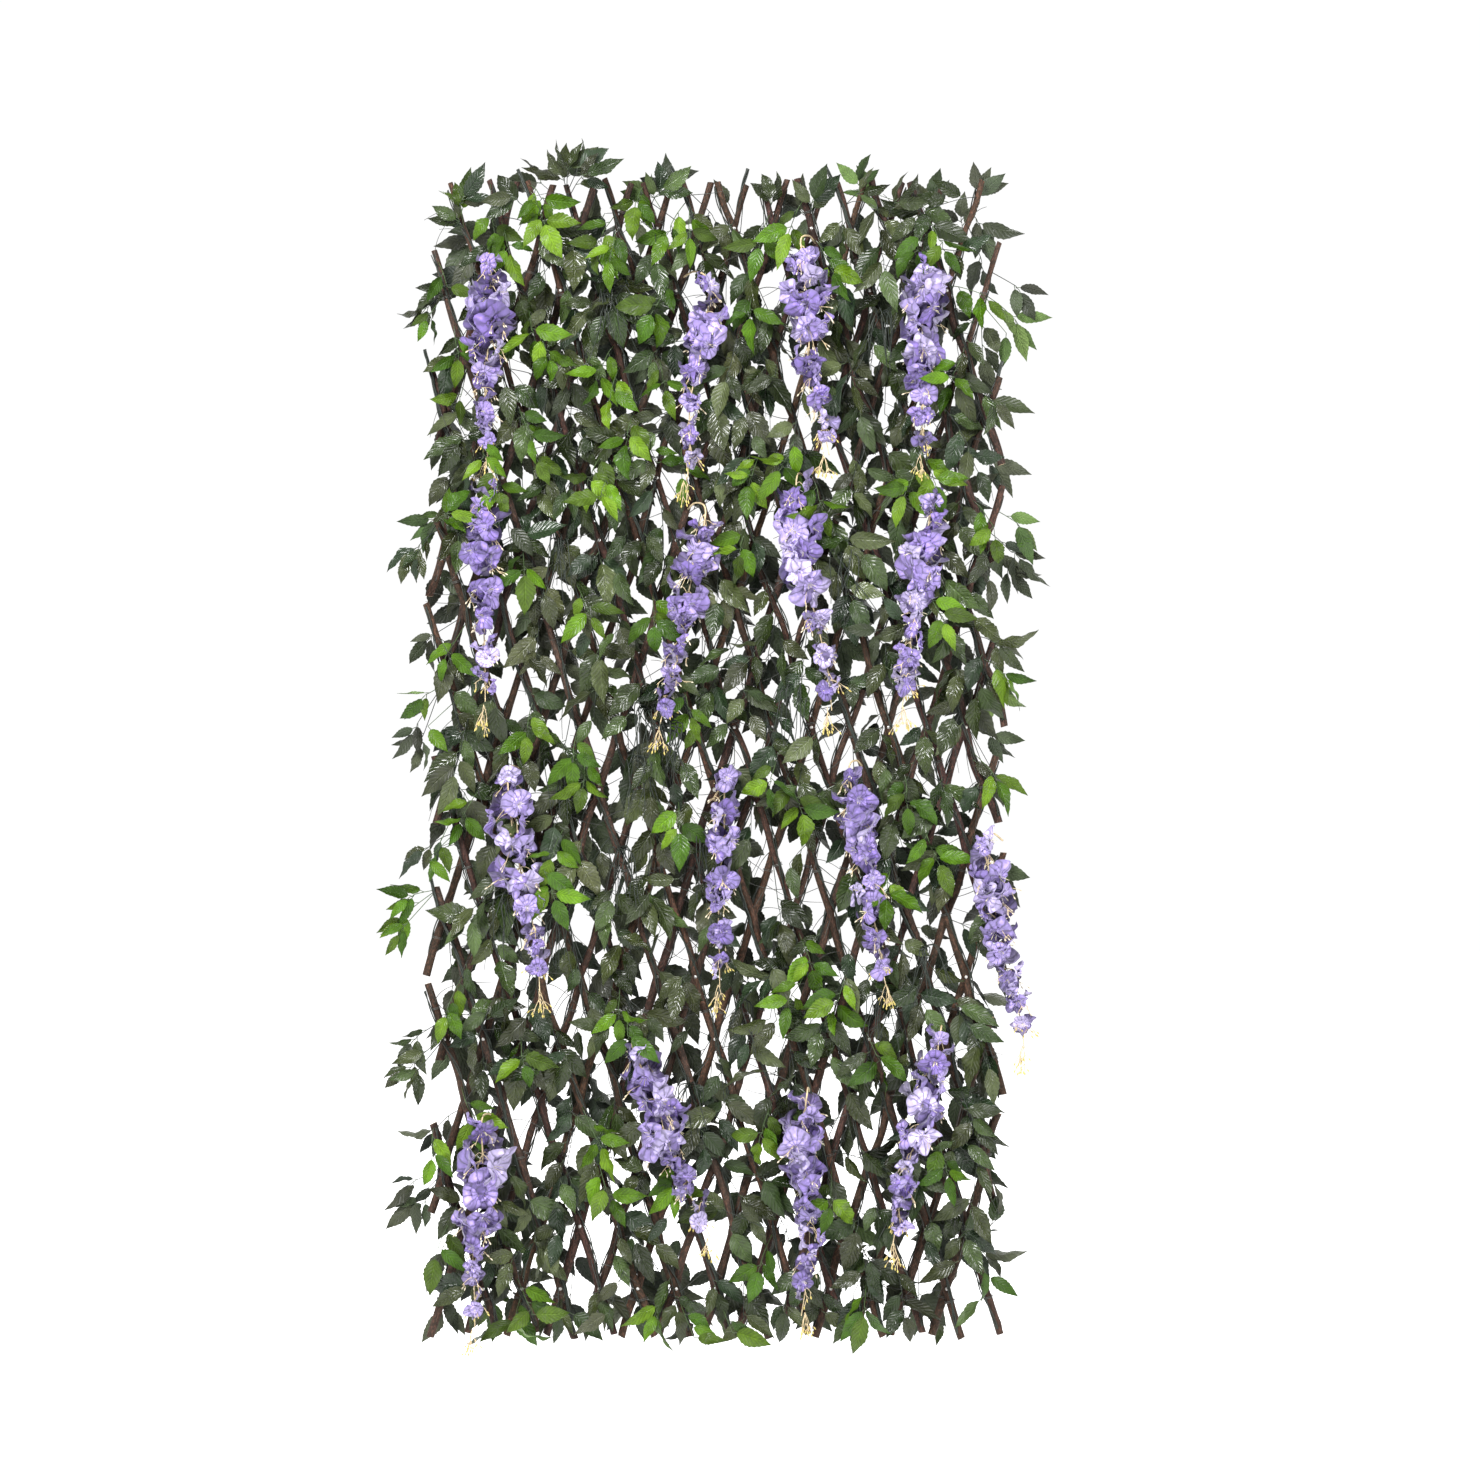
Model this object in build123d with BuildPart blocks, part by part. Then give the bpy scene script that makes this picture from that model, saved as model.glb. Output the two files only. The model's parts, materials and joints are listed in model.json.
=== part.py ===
# Artificial wisteria trellis screen: an expanding willow lattice dressed with leafy vines
# and hanging wisteria.
# X runs to the right along the screen, Y away from the viewer and Z up. The origin is the
# rivet at the middle crossing, on the plane where the two layers of rods meet.
# The front layer leans up to the left and the back layer leans up to the right.

import os
from math import atan, ceil, cos, degrees, floor, radians, sin, sqrt

from build123d import *

os.makedirs("parts", exist_ok=True)

# Lattice: the two layers cross in rows, and each row is half a pitch off the next
nail_spacing = 113.3  # from one crossing to the next, along a rod
rest_angle = 17.2  # degrees between a rod and the vertical, as photographed
rods_each_side = 10  # rods of each layer on either side of its middle rod
top_row = 9  # the highest row of crossings, counted from the middle one
bottom_row = -8
side_column = 14  # the outermost crossings, in half pitches from the middle
layer_gap = 0.3  # between the two layers
end_run = 86.0  # how far a rod runs past its last crossing at the top and bottom
side_run = 112.0  # the longest run past the last crossing at the sides
end_run_shares = (1.0, 0.93, 1.05, 0.97, 1.02)
side_run_shares = (0.55, 1.0, 0.35, 0.8, 0.65, 0.9, 0.45)

# Rods: tapered willow, drawn with eight flat sides
thick_end = 15.0  # across the flats
thin_end = 11.0  # of a rod that runs the full height
rod_sides = 8
thickness_shares = (1.0, 0.9, 0.96, 0.87, 0.93)

# Nails: carried by the front rods, turning in holes in the back rods
nail_width = 2.2
nail_reach = 8.0  # into the back rod
nail_clearance = 0.15  # round the nail's corners
nail_rhythm = 4  # two rows are nailed, then two are left
nailed_in_rhythm = (0, 1)

# Middle rivet: both middle rods turn on it
rivet_radius = 1.6
rivet_clearance = 0.3
rivet_head_radius = 4.5
rivet_head_height = 1.6

# Vines: each winds along one rod, with leaves in pairs
seat_gap = 0.3
front_vine_rods = (-8, -4, 0, 4, 8)
back_vine_rods = (-4, 4)
stem_width = 4.0
stem_thickness = 4.0
stem_sway = 9.0  # to either side of its rod
sway_rows = 4  # rows in one full sway
shoot_run = 38.0  # the free tip above the rod's upper end
foot_run = 12.0  # how far the stem stops short of the rod's lower end
leaf_length = 69.0
leaf_width = 36.0
leaf_thickness = 1.0
leaf_widest_share = 0.4
leaf_spacing = 62.0  # along the stem
leaf_size_shares = (1.0, 0.86, 0.94, 0.8)
leaf_droop = (44, 52, 40, 48, 50)  # degrees below the outward direction
leaf_tilt = (22, 34, 14, 28)  # degrees away from the screen
covered_leaf_tilt = 3  # of a leaf that lies behind a raceme
tip_leaf_angles = (-58, 58)  # degrees from the stem, of the pair at a vine's upper tip
tip_pair_run = 7.0  # how far that pair grows below the tip

# Wisteria: tiers of blossom on one stalk, held out from the screen by a short arm
raceme_length = 385.0
raceme_radius = 46.0
raceme_tiers = 6
raceme_sides = 5
tier_shares = (0.94, 1.0, 0.84, 0.64, 0.44, 0.27)
tier_widest_share = 0.45
stalk_radius = 2.5
arm_width = 3.2
raceme_clearance = 4.0  # leaves lie flat in it

# Each spray hangs from one rod: the layer, the rod, then a row and a length share for each
# of its racemes
sprays = (
    ("back", -10, ((8.67, 0.93),)),
    ("back", -8, ((4.70, 1.0),)),
    ("back", -5, ((8.60, 0.93), (0.35, 1.0))),
    ("back", -3, ((4.40, 1.0), (-5.35, 0.95))),
    ("back", 0, ((4.70, 1.0), (0.30, 0.95), (-4.30, 0.95))),
    ("back", 1, ((8.67, 0.93),)),
    ("back", 3, ((4.65, 0.97),)),
    ("front", 0, ((-4.90, 1.0),)),
    ("front", 4, ((0.31, 1.0), (-3.94, 0.94))),
    ("front", 7, ((8.67, 0.93), (-0.45, 1.0))),
)

half_pitch = nail_spacing * sin(radians(rest_angle))
full_length = (top_row - bottom_row) * nail_spacing + 2 * end_run
stem_front = layer_gap / 2 + thick_end + seat_gap + stem_thickness
raceme_depth = stem_front + raceme_clearance + raceme_radius


class Rod:
    """One straight rod of the lattice. Rows are counted along it from the middle row."""

    def __init__(self, layer, number):
        self.number = number
        self.side = -1 if layer == "front" else 1
        self.name = f"{layer}_rod_{number + rods_each_side + 1:02d}"
        self.up = Vector(self.side * sin(radians(rest_angle)), 0, cos(radians(rest_angle)))
        self.across = Vector(cos(radians(rest_angle)), 0, -self.side * sin(radians(rest_angle)))
        shift = -self.side * 2 * number
        self.high_crossing = min(top_row, side_column + shift)
        self.low_crossing = max(bottom_row, -side_column + shift)
        end_share = end_run_shares[number % len(end_run_shares)]
        side_share = side_run_shares[number % len(side_run_shares)]
        high_run = end_run * end_share if self.high_crossing == top_row else side_run * side_share
        low_run = end_run * end_share if self.low_crossing == bottom_row else side_run * side_share
        self.high_row = self.high_crossing + high_run / nail_spacing
        self.low_row = self.low_crossing - low_run / nail_spacing
        self.length = (self.high_row - self.low_row) * nail_spacing
        self.low_width = thick_end * thickness_shares[number % len(thickness_shares)]
        self.high_width = self.low_width - (thick_end - thin_end) * self.length / full_length

    def width_at(self, row):
        share = (row - self.low_row) / (self.high_row - self.low_row)
        return self.low_width + (self.high_width - self.low_width) * share

    def point(self, row, across=0, depth=0):
        """A point beside the rod's line, with depth measured outwards from the middle plane."""
        start = Vector(2 * self.number * half_pitch, self.side * depth, 0)
        return start + self.up * (row * nail_spacing) + self.across * across

    def foot_plane(self):
        """The thick end's plane, leaning so that the side towards the other layer is upright."""
        centre = self.point(self.low_row, depth=layer_gap / 2 + self.low_width / 2)
        lean = (self.low_width - self.high_width) / 2 / self.length
        axis = self.up - Vector(0, self.side * lean, 0)
        return Plane(origin=centre, x_dir=self.across, z_dir=axis)

    def taper(self):
        return degrees(atan((self.low_width - self.high_width) / 2 / self.length))

    def nailed_rows(self):
        """Rows where this rod and a rod of the other layer are nailed together."""
        rows = range(self.low_crossing, self.high_crossing + 1)
        return [
            row
            for row in rows
            if row % nail_rhythm in nailed_in_rhythm
            and abs(self.number + self.side * row) <= rods_each_side
            and (self.number, row) != (0, 0)
        ]


def build_rod(rod):
    """A tapered rod. A front rod carries its nails, and a back rod has the holes they turn in."""
    rod_angle = 180 / rod_sides
    hole_width = nail_width * sqrt(2) + 2 * nail_clearance
    face = Plane(origin=rod.point(0), x_dir=rod.up, z_dir=(0, 1, 0))
    places = [(row * nail_spacing, 0) for row in rod.nailed_rows()]
    with BuildPart() as body:
        with BuildSketch(rod.foot_plane()):
            RegularPolygon(rod.low_width / 2, rod_sides, major_radius=False, rotation=rod_angle)
        extrude(amount=rod.length, taper=rod.taper())
        if rod.side < 0:
            nail_start = -layer_gap / 2 - thin_end / 2
            with BuildSketch(face.offset(nail_start)):
                with Locations(*places):
                    Rectangle(nail_width, nail_width)
            extrude(amount=nail_reach + layer_gap / 2 - nail_start)
        else:
            with BuildSketch(face):
                with Locations(*places):
                    Rectangle(hole_width, hole_width)
            extrude(amount=2 * thick_end, mode=Mode.SUBTRACT)
        if rod.number == 0:
            with BuildSketch(face):
                Circle(rivet_radius + rivet_clearance)
            extrude(amount=2 * thick_end, both=True, mode=Mode.SUBTRACT)
    body.part.label = rod.name
    export_step(body.part, f"parts/{rod.name}.step")


def build_rivet(front, back):
    """The middle rivet, headed at the front and clenched over a burr at the back."""
    front_face = -(layer_gap / 2 + front.width_at(0) + rivet_clearance)
    back_face = layer_gap / 2 + back.width_at(0) + rivet_clearance
    with BuildPart() as rivet:
        with BuildSketch(Plane(origin=(0, front_face, 0), z_dir=(0, 1, 0))):
            Circle(rivet_radius)
        extrude(amount=back_face - front_face)
        for start, way in ((front_face, -1), (back_face, 1)):
            with BuildSketch(Plane(origin=(0, start, 0), z_dir=(0, way, 0))):
                Circle(rivet_head_radius)
            extrude(amount=rivet_head_height, taper=30)
    rivet.part.label = "centre_rivet"
    export_step(rivet.part, "parts/centre_rivet.step")


def stem_offset(row):
    """How far a vine's stem stands to the side of its rod, swaying from row to row."""
    half_sway = sway_rows / 2
    return stem_sway * (abs(row % sway_rows - half_sway) * 2 / half_sway - 1)


def stem_depth(rod):
    """The near side of a vine's stem, measured outwards from the middle plane."""
    return layer_gap / 2 + max(rod.low_width, rod.high_width) + seat_gap


def has_vine(rod):
    return rod.number in (front_vine_rods if rod.side < 0 else back_vine_rods)


def hanging_places(rod, rows_and_shares):
    """Each raceme's seat, its arm's length, the top of its stalk, and its length."""
    places = []
    for row, length_share in rows_and_shares:
        if rod.side > 0:
            seat = rod.point(row, depth=layer_gap / 2 - seat_gap)
        elif has_vine(rod):
            depth = stem_depth(rod) + stem_thickness + seat_gap
            seat = rod.point(row, stem_offset(row), depth)
        else:
            seat = rod.point(row, depth=layer_gap / 2 + rod.width_at(row) + seat_gap)
        top = Vector(seat.X, -raceme_depth, seat.Z)
        places.append((seat, seat.Y - top.Y, top, raceme_length * length_share))
    return places


def tier_of_blossom(radius, above, below):
    """One tier, widest at its plane, which narrows to the stalk above and below it."""
    overhang = (radius - stalk_radius) * cos(radians(180 / raceme_sides))
    with BuildPart() as tier:
        with BuildSketch():
            RegularPolygon(radius, raceme_sides)
        extrude(amount=below, taper=degrees(atan(overhang / below)))
        mirror(about=Plane.XY, mode=Mode.REPLACE)
        with BuildSketch():
            RegularPolygon(radius, raceme_sides)
        extrude(amount=above, taper=degrees(atan(overhang / above)))
    return tier.part


def build_spray(name, places):
    """The racemes of one rod: five-sided tiers of blossom that narrow towards the tip."""
    hung_tiers = []
    for _, _, top, length in places:
        tier_length = length / raceme_tiers
        above = tier_length * tier_widest_share
        for tier, share in enumerate(tier_shares):
            centre = top - Vector(0, 0, tier_length * tier + above)
            hung_tiers.append((centre, raceme_radius * share, above, tier_length - above))
    tiers = [(centre, tier_of_blossom(*sizes)) for centre, *sizes in hung_tiers]
    with BuildPart() as spray:
        for centre, tier in tiers:
            with Locations(centre):
                add(tier)
        for seat, arm, _, _ in places:
            arm_start = seat - Vector(0, 0, arm_width / 2)
            with BuildSketch(Plane(origin=arm_start, z_dir=(0, -1, 0))):
                Rectangle(arm_width, arm_width)
            extrude(amount=arm)
    spray.part.label = name
    export_step(spray.part, f"parts/{name}.step")


def is_covered(line, racemes):
    """Whether a raceme hangs in front of a leaf, given points along the leaf's middle."""
    for point in line:
        for _, _, top, length in racemes:
            share = (top.Z - point.Z) / length
            tier = min(max(int(share * raceme_tiers), 0), raceme_tiers - 1)
            reach = raceme_radius * tier_shares[tier] + leaf_width / 2
            beyond = max(-share, share - 1) * length
            if abs(point.X - top.X) < reach and beyond < leaf_width / 2:
                return True
    return False


def meets_arm(line, racemes):
    """Whether a raceme's arm comes through the screen where a leaf would lie."""
    for point in line:
        for seat, _, top, _ in racemes:
            across = Vector(point.X - seat.X, 0, point.Z - seat.Z)
            if across.length < leaf_width / 2 + arm_width:
                return True
    return False


def leaf_plane(base, along, out):
    """A leaf's plane: along it from the stalk, and facing out from the screen."""
    return Plane(origin=base, x_dir=along, z_dir=(out - along * out.dot(along)).normalized())


def leaf_places(rod, racemes):
    """Planes and sizes of the leaves of one vine: pairs down the stem, and three at its tip."""
    out = Vector(0, rod.side, 0)
    depth = stem_depth(rod) + stem_thickness / 2
    stand_off = stem_width / 2 + seat_gap
    start = rod.low_row + (foot_run + leaf_width) / nail_spacing
    pairs = int((rod.high_row - start) * nail_spacing / leaf_spacing)
    places = []
    for turn in range(2 * pairs + 2):
        row = start + turn // 2 * leaf_spacing / nail_spacing
        hand = 1 if turn % 2 else -1
        droop = radians(leaf_droop[turn % len(leaf_droop)])
        tilt = radians(leaf_tilt[turn % len(leaf_tilt)])
        length = leaf_length * leaf_size_shares[turn % len(leaf_size_shares)]
        beside = rod.across * hand * cos(droop) - rod.up * sin(droop)
        base = rod.point(row, stem_offset(row) + hand * stand_off, depth)
        line = [base + beside * (length * step / 4) for step in range(5)]
        if rod.side < 0 and meets_arm(line, racemes):
            continue
        if rod.side < 0 and is_covered(line, racemes):
            tilt = radians(covered_leaf_tilt)
        along = beside * cos(tilt) + out * sin(tilt)
        places.append((leaf_plane(base, along, out), length))
    tip_row = rod.high_row + shoot_run / nail_spacing
    tip_length = leaf_length * leaf_size_shares[-1]
    tip = rod.point(tip_row, stem_offset(tip_row), depth)
    places.append((leaf_plane(tip + rod.up * seat_gap, rod.up, out), tip_length))
    for angle in tip_leaf_angles:
        hand = 1 if angle > 0 else -1
        beside = rod.up * cos(radians(angle)) + rod.across * sin(radians(angle))
        along = beside * cos(radians(leaf_tilt[0])) + out * sin(radians(leaf_tilt[0]))
        base = tip - rod.up * tip_pair_run + rod.across * hand * stand_off
        places.append((leaf_plane(base, along, out), tip_length))
    return places


def build_vine(rod, racemes):
    """One leafy vine: a stem that sways along its rod, and flat leaves beside it."""
    name = rod.name.replace("rod", "vine")
    low = rod.low_row + foot_run / nail_spacing
    high = rod.high_row + shoot_run / nail_spacing
    half_sway = sway_rows // 2
    turns = range(floor(low / half_sway) + 1, ceil(high / half_sway))
    rows = [low, *(turn * half_sway for turn in turns), high]
    left = [(row * nail_spacing, stem_offset(row) - stem_width / 2) for row in rows]
    right = [(row * nail_spacing, stem_offset(row) + stem_width / 2) for row in rows]
    near_side = rod.point(0, depth=stem_depth(rod))
    plane = Plane(origin=near_side, x_dir=rod.up, z_dir=rod.up.cross(rod.across))
    with BuildPart() as vine:
        with BuildSketch(plane):
            with BuildLine():
                Polyline(*left, *reversed(right), close=True)
            make_face()
        extrude(amount=stem_thickness if plane.z_dir.Y * rod.side > 0 else -stem_thickness)
        for leaf, length in leaf_places(rod, racemes):
            widest = length * leaf_widest_share
            half_width = length * leaf_width / leaf_length / 2
            with BuildSketch(leaf.offset(-leaf_thickness / 2)):
                with BuildLine():
                    Polyline(
                        (0, 0),
                        (widest, half_width),
                        (length, 0),
                        (widest, -half_width),
                        close=True,
                    )
                make_face()
        extrude(amount=leaf_thickness)
    vine.part.label = name
    export_step(vine.part, f"parts/{name}.step")


numbers = range(-rods_each_side, rods_each_side + 1)
rods = {(layer, number): Rod(layer, number) for layer in ("front", "back") for number in numbers}
for rod in rods.values():
    build_rod(rod)
build_rivet(rods["front", 0], rods["back", 0])

all_racemes = []
for index, (layer, number, rows_and_shares) in enumerate(sprays):
    racemes = hanging_places(rods[layer, number], rows_and_shares)
    build_spray(f"wisteria_spray_{index + 1:02d}", racemes)
    all_racemes += racemes

for number in front_vine_rods:
    build_vine(rods["front", number], all_racemes)
for number in back_vine_rods:
    build_vine(rods["back", number], all_racemes)
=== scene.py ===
# Looks for the artificial wisteria trellis screen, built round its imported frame.
# Metres, X to the right, Y away from the viewer and Z up, with the middle crossing at 0.
import json
from math import atan2, cos, pi, radians, sin
from typing import NamedTuple

import bpy
import numpy as np
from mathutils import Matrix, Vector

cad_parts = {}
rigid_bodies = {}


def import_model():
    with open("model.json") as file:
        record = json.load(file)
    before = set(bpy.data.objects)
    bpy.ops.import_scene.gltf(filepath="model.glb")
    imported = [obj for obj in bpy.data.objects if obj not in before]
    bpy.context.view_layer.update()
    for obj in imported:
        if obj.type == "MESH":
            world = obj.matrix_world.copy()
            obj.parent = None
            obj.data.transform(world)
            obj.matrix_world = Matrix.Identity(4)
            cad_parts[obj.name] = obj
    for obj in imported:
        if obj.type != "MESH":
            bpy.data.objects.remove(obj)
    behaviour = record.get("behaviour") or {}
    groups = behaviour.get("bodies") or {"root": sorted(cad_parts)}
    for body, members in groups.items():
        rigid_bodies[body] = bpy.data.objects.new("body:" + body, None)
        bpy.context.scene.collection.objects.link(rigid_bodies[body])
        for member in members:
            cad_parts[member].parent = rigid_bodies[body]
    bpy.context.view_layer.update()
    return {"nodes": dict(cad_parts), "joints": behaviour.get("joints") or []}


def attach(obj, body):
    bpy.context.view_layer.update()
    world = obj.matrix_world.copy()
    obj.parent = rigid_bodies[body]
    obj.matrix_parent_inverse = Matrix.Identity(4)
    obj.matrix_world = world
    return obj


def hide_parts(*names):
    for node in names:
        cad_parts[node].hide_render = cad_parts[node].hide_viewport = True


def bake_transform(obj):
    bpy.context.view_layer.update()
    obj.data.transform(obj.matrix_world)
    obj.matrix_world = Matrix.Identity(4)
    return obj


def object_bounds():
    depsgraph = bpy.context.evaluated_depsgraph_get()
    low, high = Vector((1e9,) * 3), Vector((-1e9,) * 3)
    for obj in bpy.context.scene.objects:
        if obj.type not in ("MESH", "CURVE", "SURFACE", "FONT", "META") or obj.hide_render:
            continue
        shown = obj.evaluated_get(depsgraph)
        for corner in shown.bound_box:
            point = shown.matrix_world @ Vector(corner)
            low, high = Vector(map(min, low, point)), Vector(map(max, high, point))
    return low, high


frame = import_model()

# The lattice, as in the part's source. A row is the height of one crossing over the last.
SPACING = 0.1133
LEAN = radians(17.2)
ROW_HEIGHT = SPACING * cos(LEAN)
FOLDED, OPENED = radians(6.2), radians(40.0)  # a rod's angle from upright at the fold's two limits
EACH_SIDE = 10
TOP_ROW, BOTTOM_ROW, SIDE_COLUMN = 9, -8, 14
GAP = 0.0003
END_RUN, SIDE_RUN = 0.086, 0.112
END_SHARES = (1.0, 0.93, 1.05, 0.97, 1.02)
SIDE_SHARES = (0.55, 1.0, 0.35, 0.8, 0.65, 0.9, 0.45)
THICK, THIN = 0.015, 0.011
THICKNESS_SHARES = (1.0, 0.9, 0.96, 0.87, 0.93)
FRONT_VINES = (-8, -4, 0, 4, 8)
BACK_VINES = (-4, 4)
STEM_SWAY = 0.009

# The photograph: its width in pixels, the pixel of the middle crossing, and a pixel's size
PHOTO_WIDTH = 1480
MIDDLE_X, MIDDLE_Y = 715, 789.6
PIXEL = 0.001738

# Seeds of the random draws
ROD_SEEDS = {"front": 700, "back": 740}
RACEME_SEED = 300
LEAF_SEED = 11
FOLIAGE_SEED = 5

UP, DOWN = np.array([0.0, 0.0, 1.0]), np.array([0.0, 0.0, -1.0])
AWAY = np.array([0.0, 1.0, 0.0])


def spot(px, py):
    """The place in the screen's plane of a pixel of the photograph."""
    return np.array([(px - MIDDLE_X) * PIXEL, 0.0, (MIDDLE_Y - py) * PIXEL])


def unit(v):
    return v / np.linalg.norm(v)


def in_plane(angle):
    """The direction in the screen's plane at an angle from X."""
    return np.array([cos(angle), 0, sin(angle)])


def turned(v, angle):
    """A vector turned in the screen's plane."""
    return np.array([v[0] * cos(angle) - v[2] * sin(angle), 0, v[0] * sin(angle) + v[2] * cos(angle)])


def circle(count):
    """The angles of a full turn's equal steps."""
    return np.arange(count) * 2 * pi / count


def smooth_path(points, steps):
    """A curve through the points, with this many steps from each to the next."""
    points = np.array(points, float)
    points = np.vstack([2 * points[0] - points[1], points, 2 * points[-1] - points[-2]])
    share = np.linspace(0, 1, steps, endpoint=False)[:, None]
    runs = []
    for a, b, c, d in zip(points, points[1:], points[2:], points[3:]):
        square = (2 * a - 5 * b + 4 * c - d) * share**2
        cube = (3 * b - a - 3 * c + d) * share**3
        runs.append(0.5 * (2 * b + (c - a) * share + square + cube))
    return np.vstack(runs + [points[-2:-1]])


def running_sum(steps):
    return np.concatenate([[0], np.cumsum(steps)])


def grid_faces(rows, columns, closed=False):
    """Faces of four between the points of a grid, whose columns may close into a ring."""
    i, j = np.meshgrid(np.arange(rows - 1), np.arange(columns if closed else columns - 1), indexing="ij")
    a, b = i * columns + j, i * columns + (j + 1) % columns
    return np.stack([a, b, b + columns, a + columns], -1).reshape(-1, 4)


def grid_rows(*values):
    """One row of values for each point of a grid."""
    return np.stack(np.broadcast_arrays(*values), -1).reshape(-1, len(values))


def new_object(name, data):
    thing = bpy.data.objects.new(name, data)
    bpy.context.scene.collection.objects.link(thing)
    return thing


def fill(elements, name, values, kind=np.float32):
    """Sets one value of all of a mesh's elements at once."""
    elements.foreach_set(name, np.ascontiguousarray(values, kind).ravel())


class Piece:
    """Collects the parts of one mesh: points, faces of four, and each point's place and tone."""

    def __init__(self, name):
        self.name = name
        self.points, self.faces, self.slots = [], [], []
        self.places, self.tones = [], []
        self.count = 0
        self.materials = []

    def add(self, points, faces, material, places=None, tones=(1, 1, 1)):
        if material not in self.materials:
            self.materials.append(material)
        self.points.append(points)
        self.faces.append(faces + self.count)
        self.slots.append(np.full(len(faces), self.materials.index(material)))
        self.places.append(np.zeros((len(points), 3)) if places is None else places)
        self.tones.append(np.broadcast_to(np.asarray(tones, float), (len(points), 3)))
        self.count += len(points)

    def tube(self, path, radius, material, sides=6, tones=(1, 1, 1), tip=1.0):
        """A round stem along a path, whose far end is tip times as thick as its start."""
        askew = (0.31, 0.87, 0.38)  # a direction that no stem follows
        path = np.asarray(path, float)
        ahead = np.gradient(path, axis=0)
        ahead /= np.linalg.norm(ahead, axis=1)[:, None] + 1e-12
        side = np.cross(ahead, askew)
        side /= np.linalg.norm(side, axis=1)[:, None] + 1e-12
        up = np.cross(ahead, side)
        angle = circle(sides)
        radii = np.asarray(radius) * np.linspace(1, tip, len(path))
        outward = side[:, None] * np.cos(angle)[:, None] + up[:, None] * np.sin(angle)[:, None]
        rings = path[:, None] + outward * radii[:, None, None]
        along = running_sum(np.linalg.norm(np.diff(path, axis=0), axis=1))
        places = grid_rows(np.cos(angle), np.sin(angle), along[:, None])
        self.add(rings.reshape(-1, 3), grid_faces(len(path), sides, closed=True), material, places, tones)

    def build(self, body, slot, replaced=()):
        """Makes the mesh, which rides on one body; given a joint's two bodies it rides on neither and stays
        where it is built.
        """
        points = np.vstack(self.points)
        faces = np.vstack(self.faces)
        mesh = bpy.data.meshes.new(self.name)
        mesh.vertices.add(len(points))
        fill(mesh.vertices, "co", points)
        mesh.loops.add(faces.size)
        fill(mesh.loops, "vertex_index", faces, np.int32)
        mesh.polygons.add(len(faces))
        fill(mesh.polygons, "loop_start", np.arange(0, faces.size, 4), np.int32)
        for material in self.materials:
            mesh.materials.append(material)
        fill(mesh.polygons, "material_index", np.concatenate(self.slots), np.int32)
        fill(mesh.attributes.new("place", "FLOAT_VECTOR", "POINT").data, "vector", np.vstack(self.places))
        tones = np.hstack([np.vstack(self.tones), np.ones((len(points), 1))])
        fill(mesh.attributes.new("tone", "FLOAT_COLOR", "POINT").data, "color", tones)
        mesh.update(calc_edges=True)
        mesh.validate()
        mesh.shade_smooth()
        thing = new_object(self.name, mesh)
        if isinstance(body, str):
            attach(thing, body)
        else:  # a joint's two bodies: the mesh stays where it is built, on neither of them
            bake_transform(thing)
        if replaced:
            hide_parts(*replaced)


# Materials

MIX_A, MIX_B, MIX_RESULT = 6, 7, 2  # a Mix node's colour sockets, whose names others have too


class Link:
    """One output of a node. Sums, differences and products of links are Math nodes."""

    def __init__(self, nodes, node, output):
        self.nodes, self.node, self.output = nodes, node, output

    def math(self, operation, other=0.0):
        return self.nodes.link("Value", "ShaderNodeMath", {"operation": operation}, (self, other))

    def __add__(self, other):
        return self.math("ADD", other)

    def __sub__(self, other):
        return self.math("SUBTRACT", other)

    def __mul__(self, other):
        return self.math("MULTIPLY", other)

    def __abs__(self):
        return self.math("ABSOLUTE")

    def ramp(self, low, high, to_low=0.0, to_high=1.0):
        """A smooth step from one value to another, as the link goes from low to high."""
        ends = {"From_Min": low, "From_Max": high, "To_Min": to_low, "To_Max": to_high}
        smooth = {"interpolation_type": "SMOOTHSTEP"}
        return self.nodes.link("Result", "ShaderNodeMapRange", smooth, (self,), **ends)

    def vector_math(self, output, operation, *others, **sockets):
        node = "ShaderNodeVectorMath", {"operation": operation}, (self, *others)
        return self.nodes.link(output, *node, **sockets)

    def stretch(self, scale):
        return self.vector_math("Vector", "MULTIPLY", scale)

    def scaled(self, factor):
        """A colour times a number."""
        return self.vector_math("Vector", "SCALE", Scale=factor)


class Nodes:
    """The nodes of a material or of the world."""

    def __init__(self, tree):
        self.tree = tree

    def node(self, kind, settings=(), first=(), **sockets):
        """A new node with its settings, its first inputs in order, and other inputs by name."""
        made = self.tree.nodes.new(kind)
        for name, value in dict(settings).items():
            setattr(made, name, value)
        for number, value in enumerate(first):
            self.put(made, number, value)
        for name, value in sockets.items():
            self.put(made, name.replace("_", " "), value)
        return made

    def link(self, output, *node, **sockets):
        return Link(self, self.node(*node, **sockets), output)

    def put(self, node, socket, value):
        if isinstance(value, Link):
            self.tree.links.new(value.node.outputs[value.output], node.inputs[socket])
        else:
            node.inputs[socket].default_value = value


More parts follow.
